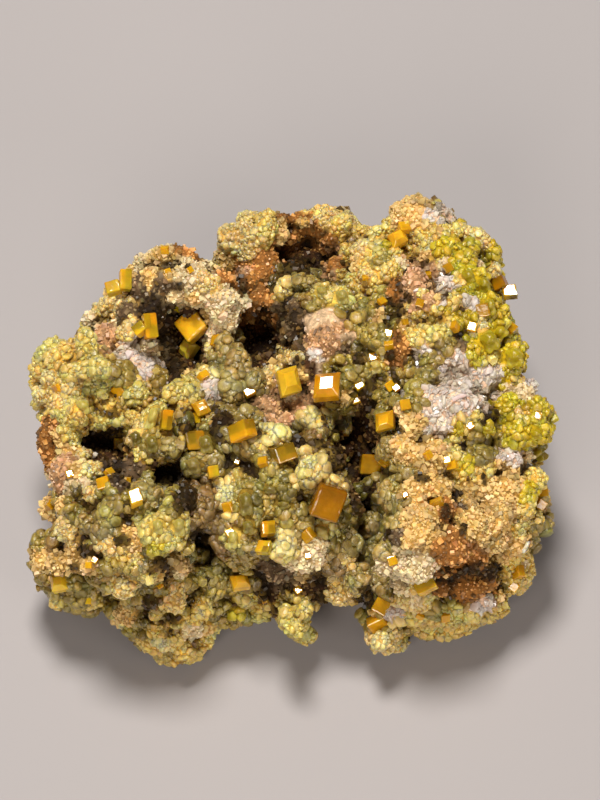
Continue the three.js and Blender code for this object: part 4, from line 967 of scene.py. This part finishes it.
# The wulfenite crystals that are packed as solids, as they show: node, x, y, half width, half height,
# half depth, how far tipped back, swung to the right and rolled in degrees, shape and colour.
wulfenites = [
    ("amber_block", 2.8, -10.2, 1.40, 1.60, 1.40, -6, 6, -23, "single", "amber"),
    ("ledge_large", -10.8, 7.5, 1.25, 1.25, 1.20, 10, -6, 42, "single", "gold"),
    ("ledge_small", -11.3, 5.2, 0.90, 0.85, 0.75, 26, -3, 50, "point", "litInShade"),
    ("ledge_pair", -16.0, 7.1, 0.60, 0.55, 0.60, 20, -8, 33, "block", "gold"),
    ("ledge_pair", -15.0, 7.4, 0.62, 1.20, 0.60, 6, 14, 9, "block", "honey"),
    ("top_left_pair", -17.5, 12.0, 0.58, 1.00, 0.60, 12, 12, 4, "block", "gold"),
    ("top_left_pair", -18.7, 11.2, 0.70, 0.62, 0.60, 20, -3, 12, "block", "gold"),
    ("middle_tilted", -5.8, -3.1, 1.10, 0.85, 0.90, 12, -34, 24, "block", "honey"),
    ("middle_yellow", -1.1, 1.9, 1.05, 1.30, 0.95, 10, 12, 15, "point", "lemon"),
    ("middle_bright", 2.7, 1.4, 1.25, 1.25, 1.05, 20, -3, 2, "point", "honey"),
    ("centre_small", -8.7, -7.2, 0.52, 0.55, 0.50, 12, 10, 5, "block", "gold"),
    ("centre_olive", -1.7, -5.3, 1.05, 0.80, 0.80, -10, 25, 22, "block", "olive"),
    ("cleft", 7.1, -6.5, 1.05, 1.00, 1.20, 2, 4, -4, "block", "olive"),
    ("cleft_upper", 8.5, -2.1, 0.90, 0.85, 0.80, 12, -12, 10, "point", "gold"),
    ("front_left", -3.2, -12.9, 0.65, 0.65, 0.60, 18, 12, 6, "block", "honey"),
    ("front_low", -3.6, -14.8, 0.62, 0.60, 0.55, 20, -16, -9, "block", "gold"),
    ("front_edge", -6.0, -18.2, 0.85, 0.72, 0.70, 24, 12, 14, "point", "gold"),
    ("left_tall", -13.4, -2.0, 0.50, 0.95, 0.60, 6, 14, -3, "block", "honey"),
    ("left_middle", -9.9, -0.8, 0.72, 0.72, 0.70, 14, 10, 22, "point", "gold"),
    ("left_middle", -10.4, -1.9, 0.62, 0.50, 0.60, 10, -14, 2, "block", "honey"),
    ("left_low", -10.5, -4.0, 0.92, 0.92, 0.60, -4, 10, 5, "block", "olive"),
    ("left_bead", -16.5, -9.8, 0.60, 0.75, 0.60, 22, 10, 18, "block", "gold"),
    ("left_foot", -24.1, -18.3, 0.85, 0.85, 0.65, 22, -10, 18, "point", "lemon"),
    ("right_edge", 24.3, -3.0, 0.75, 0.72, 0.70, 12, 26, 14, "block", "amber"),
    ("right_top", 21.0, 10.8, 0.68, 0.60, 0.60, 20, -3, 6, "block", "gold"),
    ("right_top", 20.0, 11.7, 0.65, 0.60, 0.60, 16, -18, 28, "block", "amber"),
    ("right_upper", 9.8, 16.2, 0.90, 0.80, 0.80, 20, 12, 24, "point", "gold"),
    ("right_lower", 12.6, -18.7, 1.00, 0.55, 0.50, 24, -6, 26, "block", "gold"),
]
wulfeniteColours = {
    # Painted light: paler than the rest, for the small ledge crystal that lies in the large one's shade.
    "litInShade": (0.97, 0.64, 0.05),
    "lemon": (0.97, 0.57, 0.022),
    "gold": (0.97, 0.49, 0.012),
    "honey": (0.88, 0.37, 0.005),
    "amber": (0.41, 0.155, 0.001),
    "olive": (0.50, 0.235, 0.006),
}

# Small wulfenite crystals in the front view: x, y, width, thickness, spin in degrees. Some flash.
chips = [
    (-24.3, 1.2, 0.8, 0.5, 10), (-18.2, 1.0, 1.1, 0.7, 30), (-19.6, -8.4, 1.2, 0.9, 20),
    (-25.0, -10.5, 0.8, 0.6, 45), (-19.0, -7.3, 0.9, 0.6, 15), (-18.1, -4.4, 1.0, 0.8, 0),
    (-21.1, -16.5, 0.6, 0.4, 0), (-21.2, -20.0, 0.7, 0.5, 0), (-17.2, -8.0, 0.6, 0.4, 0),
    (-13.2, 12.8, 0.7, 0.5, 20), (-13.5, 15.0, 0.8, 0.5, 0), (-11.0, 13.0, 0.6, 0.4, 30),
    (-9.7, 2.4, 1.0, 0.7, 40), (-8.3, 5.9, 1.1, 0.8, 10), (-7.2, -10.7, 1.0, 0.5, 10),
    (-7.0, -13.3, 0.8, 0.5, 35), (0.8, -13.5, 1.2, 0.8, 30), (8.9, 5.4, 0.9, 0.6, 10),
    (10.5, 7.8, 0.6, 0.4, 10), (15.5, 7.3, 0.9, 0.6, 50), (14.8, 13.2, 0.9, 0.6, 30),
    (12.8, 12.5, 0.7, 0.5, 10), (12.0, 9.7, 0.8, 0.5, 70), (8.2, 9.8, 0.8, 0.6, 30),
    (6.5, 12.2, 0.6, 0.4, 0), (10.4, 17.2, 1.1, 0.8, 5), (18.3, 9.0, 1.3, 0.8, 10),
    (21.0, 7.2, 1.1, 0.7, 40), (12.8, -5.5, 0.8, 0.5, 30), (15.2, -6.4, 1.0, 0.7, 10),
    (13.8, -10.5, 1.3, 0.7, 25), (24.2, -9.0, 1.1, 0.9, 10), (24.0, -10.4, 1.0, 0.8, 60),
    (21.8, -17.2, 1.2, 0.8, 20), (21.4, -18.6, 0.9, 0.6, 50), (8.1, -20.6, 1.5, 1.0, 60),
    (7.9, -22.4, 1.9, 1.2, 35), (9.2, -16.0, 0.9, 0.6, 20), (14.5, -21.7, 0.9, 0.6, 10),
    (12.0, -21.5, 0.8, 0.5, 60), (8.8, 6.6, 0.8, 0.5, 75, "flash"), (7.3, 4.3, 0.8, 0.4, 8, "flash"),
    (8.0, 4.5, 0.6, 0.4, 8, "flash"), (5.5, 0.3, 0.8, 0.6, 5, "flash"), (5.9, 1.5, 0.9, 0.5, 35, "flash"),
    (-5.1, 0.9, 1.1, 0.6, 30, "flash"), (17.2, 7.3, 0.9, 0.5, 75, "flash"),
    (23.8, -1.6, 0.7, 0.5, 75, "flash"), (8.8, -6.2, 0.7, 0.5, 35, "flash"),
    (-12.2, 9.2, 0.7, 0.5, 60, "flash"), (-10.7, -5.1, 0.8, 0.4, 10, "flash"),
    (-3.5, -20.0, 0.6, 0.4, 15, "flash"), (-0.2, -19.0, 0.7, 0.4, 40, "flash"),
    (-23.0, -7.4, 0.7, 0.4, 20, "flash"), (-14.0, -18.5, 0.6, 0.4, 30, "flash"),
    (-20.5, -16.0, 0.6, 0.4, 60, "flash"), (-6.3, -6.2, 0.5, 0.4, 70, "flash"),
    (10.5, -9.5, 0.5, 0.4, 30, "flash"), (14.7, -6.0, 0.7, 0.4, 8, "flash"),
    (0.8, -15.6, 0.6, 0.4, 20, "flash"), (5.7, 0.3, 1.3, 0.5, 20, "flash"),
    (8.4, -6.2, 0.9, 0.5, 60, "flash"), (17.0, -2.6, 0.7, 0.4, 30, "flash"), (-3.7, -6.2, 0.9, 0.7, 15),
    (9.6, 1.2, 0.7, 0.4, 40, "flash"), (10.5, -0.5, 1.0, 0.7, 10), (9.0, 1.4, 0.9, 0.6, 35),
]


# A lobed crystal of pyromorphite: balls of some sizes that have grown into one.
gemShape = {
    "lobes": 14,
    "upwards": 0.6,  # how far the lobes keep to the upper side
    "reach": 0.64,  # of the lobes' middles, with the crystal's radius near 1
    "core": 0.66,  # radius of the ball in the middle
    "sizes": (0.26, 0.42),  # radii of the lobes
    "fine": 0.1,  # voxels that weld them
    "faces": 0.17,  # share of the faces that stays
    "tint": (0.86, 0.98, 0.9),
    "vary": 0.1,
    "paintedLight": ([-0.2, 0.3, 0.7, 1], [0.65, 0.75, 1.1, 1.2]),  # heights, and the painted light there: a painted glow low down, painted shade on top
}


def makeGem():
    rng = np.random.default_rng(4)
    count = gemShape["lobes"]
    lobes = unit(rng.normal(size=(count, 3)) + (0, 0, gemShape["upwards"])) * gemShape["reach"]
    middles = np.concatenate([np.zeros((1, 3)), lobes])
    radii = np.append(gemShape["core"], rng.uniform(*gemShape["sizes"], count))
    axes = growingAxes(lobes[:1].repeat(count + 1, 0), 1, rng)
    gem = copiesMesh("gem", makeBall(), middles, axes, radii[:, None] * np.ones(3))
    remesh(gem, gemShape["fine"])
    applyModifier(gem, "SMOOTH", factor=0.5, iterations=1)
    applyModifier(gem, "DECIMATE", ratio=gemShape["faces"])
    return arraysOf(gem)


# How the big wulfenite crystals lie, and what has grown on each block.
wulfeniteShape = {
    "proud": 0.05,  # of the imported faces, in mm
    "askew": 0.12,  # at most
    "grown": 2,  # small crystals, side by side
    "grownWide": (0.45, 0.7),  # in the block's sizes
    "grownDeep": (0.86, 1.04),
    "grownAside": (0.8, 1.15),
    "grownShade": (0.75, 1),
    "paintedLight": (0.85, 1.2),  # painted inner glow: paler at the lower edge, darker at the upper
}


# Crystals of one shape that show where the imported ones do, with their front faces as far from the eye.
def wulfeniteForms(shape):
    rng = np.random.default_rng(9)
    askew, aside = wulfeniteShape["askew"], wulfeniteShape["grownAside"]
    middles, axes, sizes, colours = [], [], [], []
    for _, x, y, wide, high, deep, tipped, swung, rolled, form, colour in wulfenites:
        if form != shape:
            continue
        side, up, out = axesInView(rolled)
        side, out = turned(side, out, -swung)
        up, out = turned(up, out, -tipped)
        side, up = side + up * rng.uniform(-askew, askew), up + side * rng.uniform(-askew, askew)
        middle = placeOn(crystalTree, x, y) - viewOut * (deep - wulfeniteShape["proud"]) * mm
        size = np.array([wide, high, deep]) * mm
        grown = [(middle, size, 1.0)]
        for _ in range(wulfeniteShape["grown"] if shape == "block" else 0):
            small = size * rng.uniform(*wulfeniteShape["grownWide"], 3)
            small[2] = size[2] * rng.uniform(*wulfeniteShape["grownDeep"])
            shift = (size - small)[:2] * rng.choice([-1, 1], 2) * rng.uniform(*aside, 2)
            shade = rng.uniform(*wulfeniteShape["grownShade"])
            grown.append((middle + side * shift[0] + up * shift[1], small, shade))
        for place, half, shade in grown:
            middles.append(place)
            axes.append(np.array([side, up, out]))
            sizes.append(half)
            colours.append(np.array(wulfeniteColours[colour]) * shade)
    return np.array(middles), np.array(axes), np.array(sizes), np.array(colours)


# The small wulfenite crystals.
chipShape = {
    "lean": 0.45,  # of those that don't flash
    "lift": 0.35,  # above the rock, in mm
    "colour": (0.82, 0.42, 0.01),
    "vary": 0.2,
}


# They face any way. Those that flash are turned so that the key light shines back to the eye.
def chipPlaces():
    rng = np.random.default_rng(8)
    halfway = unit(unit(np.array(studio["key"]["way"])) + viewOut)
    middles, axes, sizes = [], [], []
    for x, y, wide, thick, spin, *flash in chips:
        out = halfway if flash else unit(viewOut + rng.normal(size=3) * chipShape["lean"])
        side = unit(np.cross(viewUp, out))
        axes.append(np.array([*turned(side, np.cross(out, side), spin), out]))
        sizes.append(np.array([wide, wide, thick]) * 0.5 * mm)
        middles.append(placeOn(rockTree, x, y) + viewOut * chipShape["lift"] * mm)
    return np.array(middles), np.array(axes), np.array(sizes)


# The crust of crystals on the matrix.
crustShape = {
    "density": 18,  # candidates per square mm
    "sizes": (0.62, 1.0, 1.55),  # small, middling and big, in the kind's radius
    "shares": (0.55, 0.35, 0.10),
    "unlike": 0.15,  # how far crystals of one size differ
    "lowest": 0.9 * mm,  # above the table
    "bare": (0.95, 0.25),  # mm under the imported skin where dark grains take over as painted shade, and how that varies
    "barePits": 0.55,  # painted shade of the pits below which they do too
    "clear": 0.5,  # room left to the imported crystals, in radii
    "far": 3 * mm,  # from them, where all is clear
    "barrels": 0.05,  # share of barrels among the beads and buds
    "vary": {"length": 2.4, "lump": 0.9, "rounded": 0.25, "other": 0.6},  # mm, and shares of the kind's own
    "greener": {"length": 3.0, "least": -0.15, "change": (-0.14, 0.02, 0.12)},  # mm; red, green, blue
    "speckle": 0.04,  # how far each colour of a crystal strays
    "depthShade": ([-0.3, 0.3, 1.2], [1.08, 0.9, 0.28]),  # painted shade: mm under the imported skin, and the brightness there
    "shadeTint": (1, 0.97, 0.8),  # red, green and blue of the painted shade where it is dark
    "shadeWarmth": 1.5,  # how strongly the painted shade warms
    "darkest": (0.022, 0.012, 0.003),
    "brightest": 0.9,
    "parts": {"left": (-99, -9.5), "middle": (-9.5, 6.5), "right": (6.5, 99)},  # across the view in mm
}

# How crystals of each shape grow: how far above the skin, in radii, how much too big for their room,
# how far they lean and differ in size, and their painted light at the foot, at the rim and at the
# middle of the top: painted shade above 1 and a painted glow below.
habits = {
    "bead": {"rise": -0.1, "grown": 1.12, "lean": 0.4, "stretch": 0.18, "paintedLight": (1.05, 0.82, 1.16)},
    "bud": {"rise": -0.08, "grown": 1.1, "lean": 0.5, "stretch": 0.2, "paintedLight": (1.1, 0.85, 1.05)},
    "barrel": {"rise": 0, "grown": 1.05, "lean": 0.5, "stretch": 0.2, "paintedLight": (1.0, 0.75, 1.2)},
    "grain": {"rise": 0.1, "grown": 1, "lean": 0.6, "stretch": 0.4, "paintedLight": (1.3, 0.85, 0.85)},
    "shard": {"rise": 0.1, "grown": 1, "lean": 0.6, "stretch": 0.5, "paintedLight": (1.2, 0.7, 0.7)},
}


def valuesOf(key, kind):
    return np.array([kinds[name][key] for name in kindNames])[kind]


def clearOfCrystals(places, radii):
    clear = np.ones(len(places), dtype=bool)
    for i, place in enumerate(places):
        near, normal, _, distance = crystalTree.find_nearest(Vector(place), crustShape["far"])
        if near is not None:
            inside = (Vector(place) - near).dot(normal) < 0
            clear[i] = not inside and distance > radii[i] * crustShape["clear"]
    return clear


# The painted light on each point of a crystal: its foot, its rim and the middle of its top.
def paintedLightOf(model, name):
    foot, rim, top = habits[name]["paintedLight"]
    x, y, z = model[0].T
    return np.where((np.hypot(x, y) < 0.1) & (z > 0), top, np.interp(z, [z.min(), z.max()], [foot, rim]))


# Places, ways, kinds and radii of the crystals. The big ones take their room first.
def crustPlaces(rng):
    places, ways = placesOn(rock, crustShape["density"], rng)
    above = places[:, 2] > crustShape["lowest"]
    places, ways = places[above], ways[above]
    kind = kindAt(places, ways)
    # Painted shade: deep under the skin and in the pits, dark grains take the crystals' place.
    deep, spread = crustShape["bare"]
    bare = depthBelowSkin(places) > deep + spread * rng.normal(size=len(places))
    bare |= pitShade(places) < crustShape["barePits"]
    kind[bare & (valuesOf("shape", kind) != "shard")] = kindNames.index("dark")
    size = rng.choice(3, len(places), p=crustShape["shares"])
    unlike = rng.uniform(1 - crustShape["unlike"], 1 + crustShape["unlike"], len(places))
    radii = valuesOf("radius", kind) * (np.array(crustShape["sizes"])[size] * unlike) * mm
    order = np.argsort(-size, kind="stable")
    places, ways, kind, radii = places[order], ways[order], kind[order], radii[order]
    kept = thinned(places, radii * valuesOf("room", kind))
    places, ways, kind, radii = places[kept], ways[kept], kind[kept], radii[kept]
    clear = clearOfCrystals(places, radii)
    for middles, axes, sizes, reach in [(*gemForms[:3], 1.0), (*chipForms, 0.9)]:
        for middle, turns, size in zip(middles, axes, sizes):
            clear &= (((places - middle) @ turns.T / size) ** 2).sum(axis=1) > reach ** 2
    return places[clear], ways[clear], kind[clear], radii[clear]


# Colours of the crystals: they change from lump to lump, and carry painted shade, dark and warm, in the
# hollows and pits.
def crustColours(places, kind, rng):
    depth, shade = depthBelowSkin(places), pitShade(places)
    vary, greener, shadeWarmth = crustShape["vary"], crustShape["greener"], crustShape["shadeWarmth"]
    rounded = np.isin(valuesOf("shape", kind), ["bead", "bud"])
    own = np.where(rounded, vary["rounded"], vary["other"])
    change = waves(places / mm, vary["length"], 21) * vary["lump"] + rng.normal(size=len(places)) * own
    colour = valuesOf("colour", kind) * np.exp(change * valuesOf("vary", kind))[:, None]
    green = waves(places / mm, greener["length"], 22).clip(greener["least"], None) * rounded
    stray = rng.normal(size=colour.shape) * crustShape["speckle"]
    colour *= np.exp(green[:, None] * np.array(greener["change"]) + stray)
    # Painted shade: darker deeper under the imported skin and in the pits, and warmer there.
    colour *= (np.interp(depth, *crustShape["depthShade"]) * shade)[:, None]
    dark = shadeWarmth * (1 - shade) + np.interp(depth, [0, 1], [0, shadeWarmth])
    colour *= np.array(crustShape["shadeTint"]) ** dark[:, None]
    colour *= np.minimum(1, crustShape["brightest"] / colour.max(axis=1))[:, None]
    return np.maximum(colour, crustShape["darkest"])


def makeCrust():
    rng = np.random.default_rng(5)
    places, ways, kind, radii = crustPlaces(rng)
    colour = crustColours(places, kind, rng)
    shape = valuesOf("shape", kind).astype(object)
    shape[np.isin(shape, ["bead", "bud"]) & (rng.random(len(places)) < crustShape["barrels"])] = "barrel"
    x = placeInView(places)[:, 0]
    models = {
        "bead": makeBead(), "bud": makeBud(), "barrel": makeBarrel(),
        "grain": makeGrain(), "shard": makeShard(),
    }
    pieces = {name: [] for name in models}
    for part, (low, high) in crustShape["parts"].items():
        for name, model in models.items():
            here = (shape == name) & (x >= low) & (x < high)
            habit = habits[name]
            axes = growingAxes(ways[here], habit["lean"], rng)
            if name == "shard":
                axes = lyingAxes(ways[here], rng)
            sizes = randomSizes(radii[here] * habit["grown"], habit["stretch"], rng)
            middles = places[here] + ways[here] * (radii[here] * habit["rise"])[:, None]
            obj = copiesMesh(
                part + name.capitalize() + "s", model, middles, axes, sizes, colour[here],
                paintedLightOf(model, name), smooth=name in ("bead", "bud"),
            )
            pieces[name].append(obj)
            print(obj.name, here.sum(), "copies", here.sum() * len(model[1]), "triangles")
    return pieces


gemForms = formsOf(gems, rockTree, lambda deep: 0)
chipForms = chipPlaces()
crust = makeCrust()


def makeGems():
    rng = np.random.default_rng(6)
    middles, axes, sizes, kind = gemForms
    change = np.exp(rng.normal(size=len(kind)) * gemShape["vary"])[:, None]
    colour = valuesOf("colour", kind) * gemShape["tint"] * change
    gem = makeGem()
    paintedLight = np.interp(gem[0][:, 2], *gemShape["paintedLight"])
    return copiesMesh("singleCrystals", gem, middles, axes, sizes, colour, paintedLight)


def makeWulfenites():
    parts = []
    for name, shape in [("block", makeBlock()), ("single", makeBlock()), ("point", makePoint())]:
        paintedLight = np.interp(shape[0][:, 1], [-1, 1], wulfeniteShape["paintedLight"])
        parts.append(copiesMesh("wulfeniteCrystals", shape, *wulfeniteForms(name), paintedLight, smooth=False))
    return joined(parts)


def makeChips():
    rng = np.random.default_rng(7)
    change = np.exp(rng.normal(size=len(chips)) * chipShape["vary"])[:, None]
    colour = np.array(chipShape["colour"]) * change
    return copiesMesh("smallWulfenites", makeBlock(), *chipForms, colour, smooth=False)


wulfeniteCrystals = makeWulfenites()
singleCrystals = makeGems()
smallWulfenites = makeChips()
for obj in (wulfeniteCrystals, singleCrystals, smallWulfenites, rock):
    print(obj.name, len(trianglesOf(obj.data)), "triangles")


# Finishes

# Each has its shader's values. Some have clouds of noise, spread so that they darken and brighten the
# colour, or a grain of noise that shows as bumps.
finishes = {
    "pyromorphite": {
        "grain": {"Scale": 1 / (0.16 * mm), "Detail": 3},
        "bump": {"Distance": 0.065 * mm},
        "shader": {
            "Roughness": 0.28, "IOR": 1.65, "Sheen Weight": 0.05, "Sheen Roughness": 0.3,
            "Subsurface Weight": 0.85, "Subsurface Radius": (1.0, 0.85, 0.3), "Subsurface Scale": 0.7 * mm,
        },
    },
    "druse": {
        "shader": {
            "Roughness": 0.4, "IOR": 1.55, "Specular IOR Level": 0.35,
            "Subsurface Weight": 0.2, "Subsurface Radius": (1.0, 0.7, 0.3), "Subsurface Scale": 0.2 * mm,
        },
    },
    "quartz": {
        "shader": {
            "Roughness": 0.18, "IOR": 1.55, "Transmission Weight": 0.1,
            "Subsurface Weight": 0.7, "Subsurface Radius": (1, 1, 1), "Subsurface Scale": 0.6 * mm,
        },
    },
    "matrixRock": {
        "clouds": {"Scale": 2600, "Detail": 6, "Roughness": 0.7},
        "spread": {"From Min": 0.3, "From Max": 0.7, "To Min": 0.45, "To Max": 1.6},
        "grain": {"Scale": 2600, "Detail": 6, "Roughness": 0.7},
        "bump": {"Strength": 0.7, "Distance": 0.15 * mm},
        "shader": {"Roughness": 0.7, "Specular IOR Level": 0.15},
    },
    "wulfenite": {
        "clouds": {"Scale": 700, "Detail": 4},
        "spread": {"From Min": 0.35, "From Max": 0.65, "To Min": 0.75, "To Max": 1.1},
        "grain": {"Scale": 1 / (0.5 * mm), "Detail": 3},
        "bump": {"Distance": 0.03 * mm},
        "shader": {
            "Roughness": 0.1, "IOR": 1.75, "Transmission Weight": 0.15,
            "Subsurface Weight": 0.6, "Subsurface Radius": (1.0, 0.6, 0.05), "Subsurface Scale": 0.5 * mm,
        },
    },
    "clearPyromorphite": {
        "grain": {"Scale": 1 / (0.2 * mm), "Detail": 3},
        "bump": {"Distance": 0.06 * mm},
        "shader": {
            "Roughness": 0.3, "IOR": 1.6, "Transmission Weight": 0.15,
            "Subsurface Weight": 0.8, "Subsurface Radius": (1.0, 0.8, 0.25), "Subsurface Scale": 0.8 * mm,
        },
    },
}


def setInputs(node, values):
    for name, value in values.items():
        node.inputs[name].default_value = value


def addNode(nodes, kind, values):
    node = nodes.new(kind)
    setInputs(node, values)
    return node


def newMaterial(name, values):
    material = bpy.data.materials.new(name)
    material.use_nodes = True
    setInputs(material.node_tree.nodes["Principled BSDF"], values)
    return material


def addNoise(nodes, links, values):
    noise = addNode(nodes, "ShaderNodeTexNoise", values)
    links.new(nodes.new("ShaderNodeTexCoord").outputs["Object"], noise.inputs["Vector"])
    return noise.outputs["Fac"]


# Clouds of noise over a colour.
def clouded(nodes, links, colour, finish):
    spread = addNode(nodes, "ShaderNodeMapRange", finish["spread"])
    links.new(addNoise(nodes, links, finish["clouds"]), spread.inputs["Value"])
    mix = nodes.new("ShaderNodeMix")
    mix.data_type = "RGBA"
    mix.blend_type = "MULTIPLY"
    mix.inputs["Factor"].default_value = 1
    links.new(colour, mix.inputs["A"])
    links.new(spread.outputs["Result"], mix.inputs["B"])
    return mix.outputs["Result"]


# A material that takes its colour from the "tint" of the mesh.
def makeFinish(name, finish):
    material = newMaterial(name, finish["shader"])
    nodes, links = material.node_tree.nodes, material.node_tree.links
    shader = nodes["Principled BSDF"]
    tint = nodes.new("ShaderNodeAttribute")
    tint.attribute_name = "tint"
    colour = tint.outputs["Color"]
    if "clouds" in finish:
        colour = clouded(nodes, links, colour, finish)
    links.new(colour, shader.inputs["Base Color"])
    if "grain" in finish:
        bump = addNode(nodes, "ShaderNodeBump", finish["bump"])
        links.new(addNoise(nodes, links, finish["grain"]), bump.inputs["Height"])
        links.new(bump.outputs["Normal"], shader.inputs["Normal"])
    return material


def colourMatrix():
    points = pointsOf(rock.data)
    (fine, less), (coarse, more) = matrixShape["mottle"]
    change = waves(points / mm, fine, 31) * less + waves(points / mm, coarse, 32) * more
    kind = kindAt(points, pointsOf(rock.data, "normal"))
    ground = valuesOf("ground", kind) * np.exp(change)[:, None]
    # Painted shade: darker deeper under the imported skin and in the pits.
    ground *= (np.interp(depthBelowSkin(points), *matrixShape["depthShade"]) * pitShade(points))[:, None]
    setColours(rock.data, np.maximum(ground, matrixShape["darkest"]).clip(0, 0.9))


def dress():
    colourMatrix()
    made = {name: makeFinish(name, finish) for name, finish in finishes.items()}
    coats = {"grain": "druse", "shard": "quartz"}
    for name, objs in crust.items():
        for obj in objs:
            obj.data.materials.append(made[coats.get(name, "pyromorphite")])
            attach(obj, "root")
    rock.data.materials.append(made["matrixRock"])
    selectOnly(rock)
    bpy.ops.object.shade_smooth()
    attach(rock, "root")
    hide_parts("limonite_quartz_matrix", *clusterNodes)
    wulfeniteCrystals.data.materials.append(made["wulfenite"])
    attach(wulfeniteCrystals, "root")
    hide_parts(*crystalNodes)
    smallWulfenites.data.materials.append(made["wulfenite"])
    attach(smallWulfenites, "root")
    singleCrystals.data.materials.append(made["clearPyromorphite"])
    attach(singleCrystals, "root")


dress()
print("finishes")


# Table and light

def makeTable():
    bpy.ops.mesh.primitive_plane_add(size=3)
    table = bpy.context.object
    table.name = "table"
    material = newMaterial("table", {"Base Color": (*studio["table"], 1), "Roughness": 0.8})
    table.data.materials.append(material)


def addLight(name):
    lamp = studio[name]
    data = bpy.data.lights.new(name, "AREA")
    data.shape = "DISK"
    data.size = lamp["size"]
    data.energy = lamp["power"]
    data.color = lamp["colour"]
    light = bpy.data.objects.new(name, data)
    bpy.context.collection.objects.link(light)
    place = Vector(lamp["way"]).normalized() * lamp["distance"]
    light.location = place
    light.rotation_euler = (-place).to_track_quat("-Z", "Y").to_euler()


makeTable()
for name in ("key", "front", "side"):
    addLight(name)
world = bpy.data.worlds.new("studio")
world.use_nodes = True
air = {"Color": (*studio["air"]["colour"], 1), "Strength": studio["air"]["strength"]}
setInputs(world.node_tree.nodes["Background"], air)
bpy.context.scene.world = world
bpy.context.scene.view_settings.view_transform = "Standard"
print("table and light")
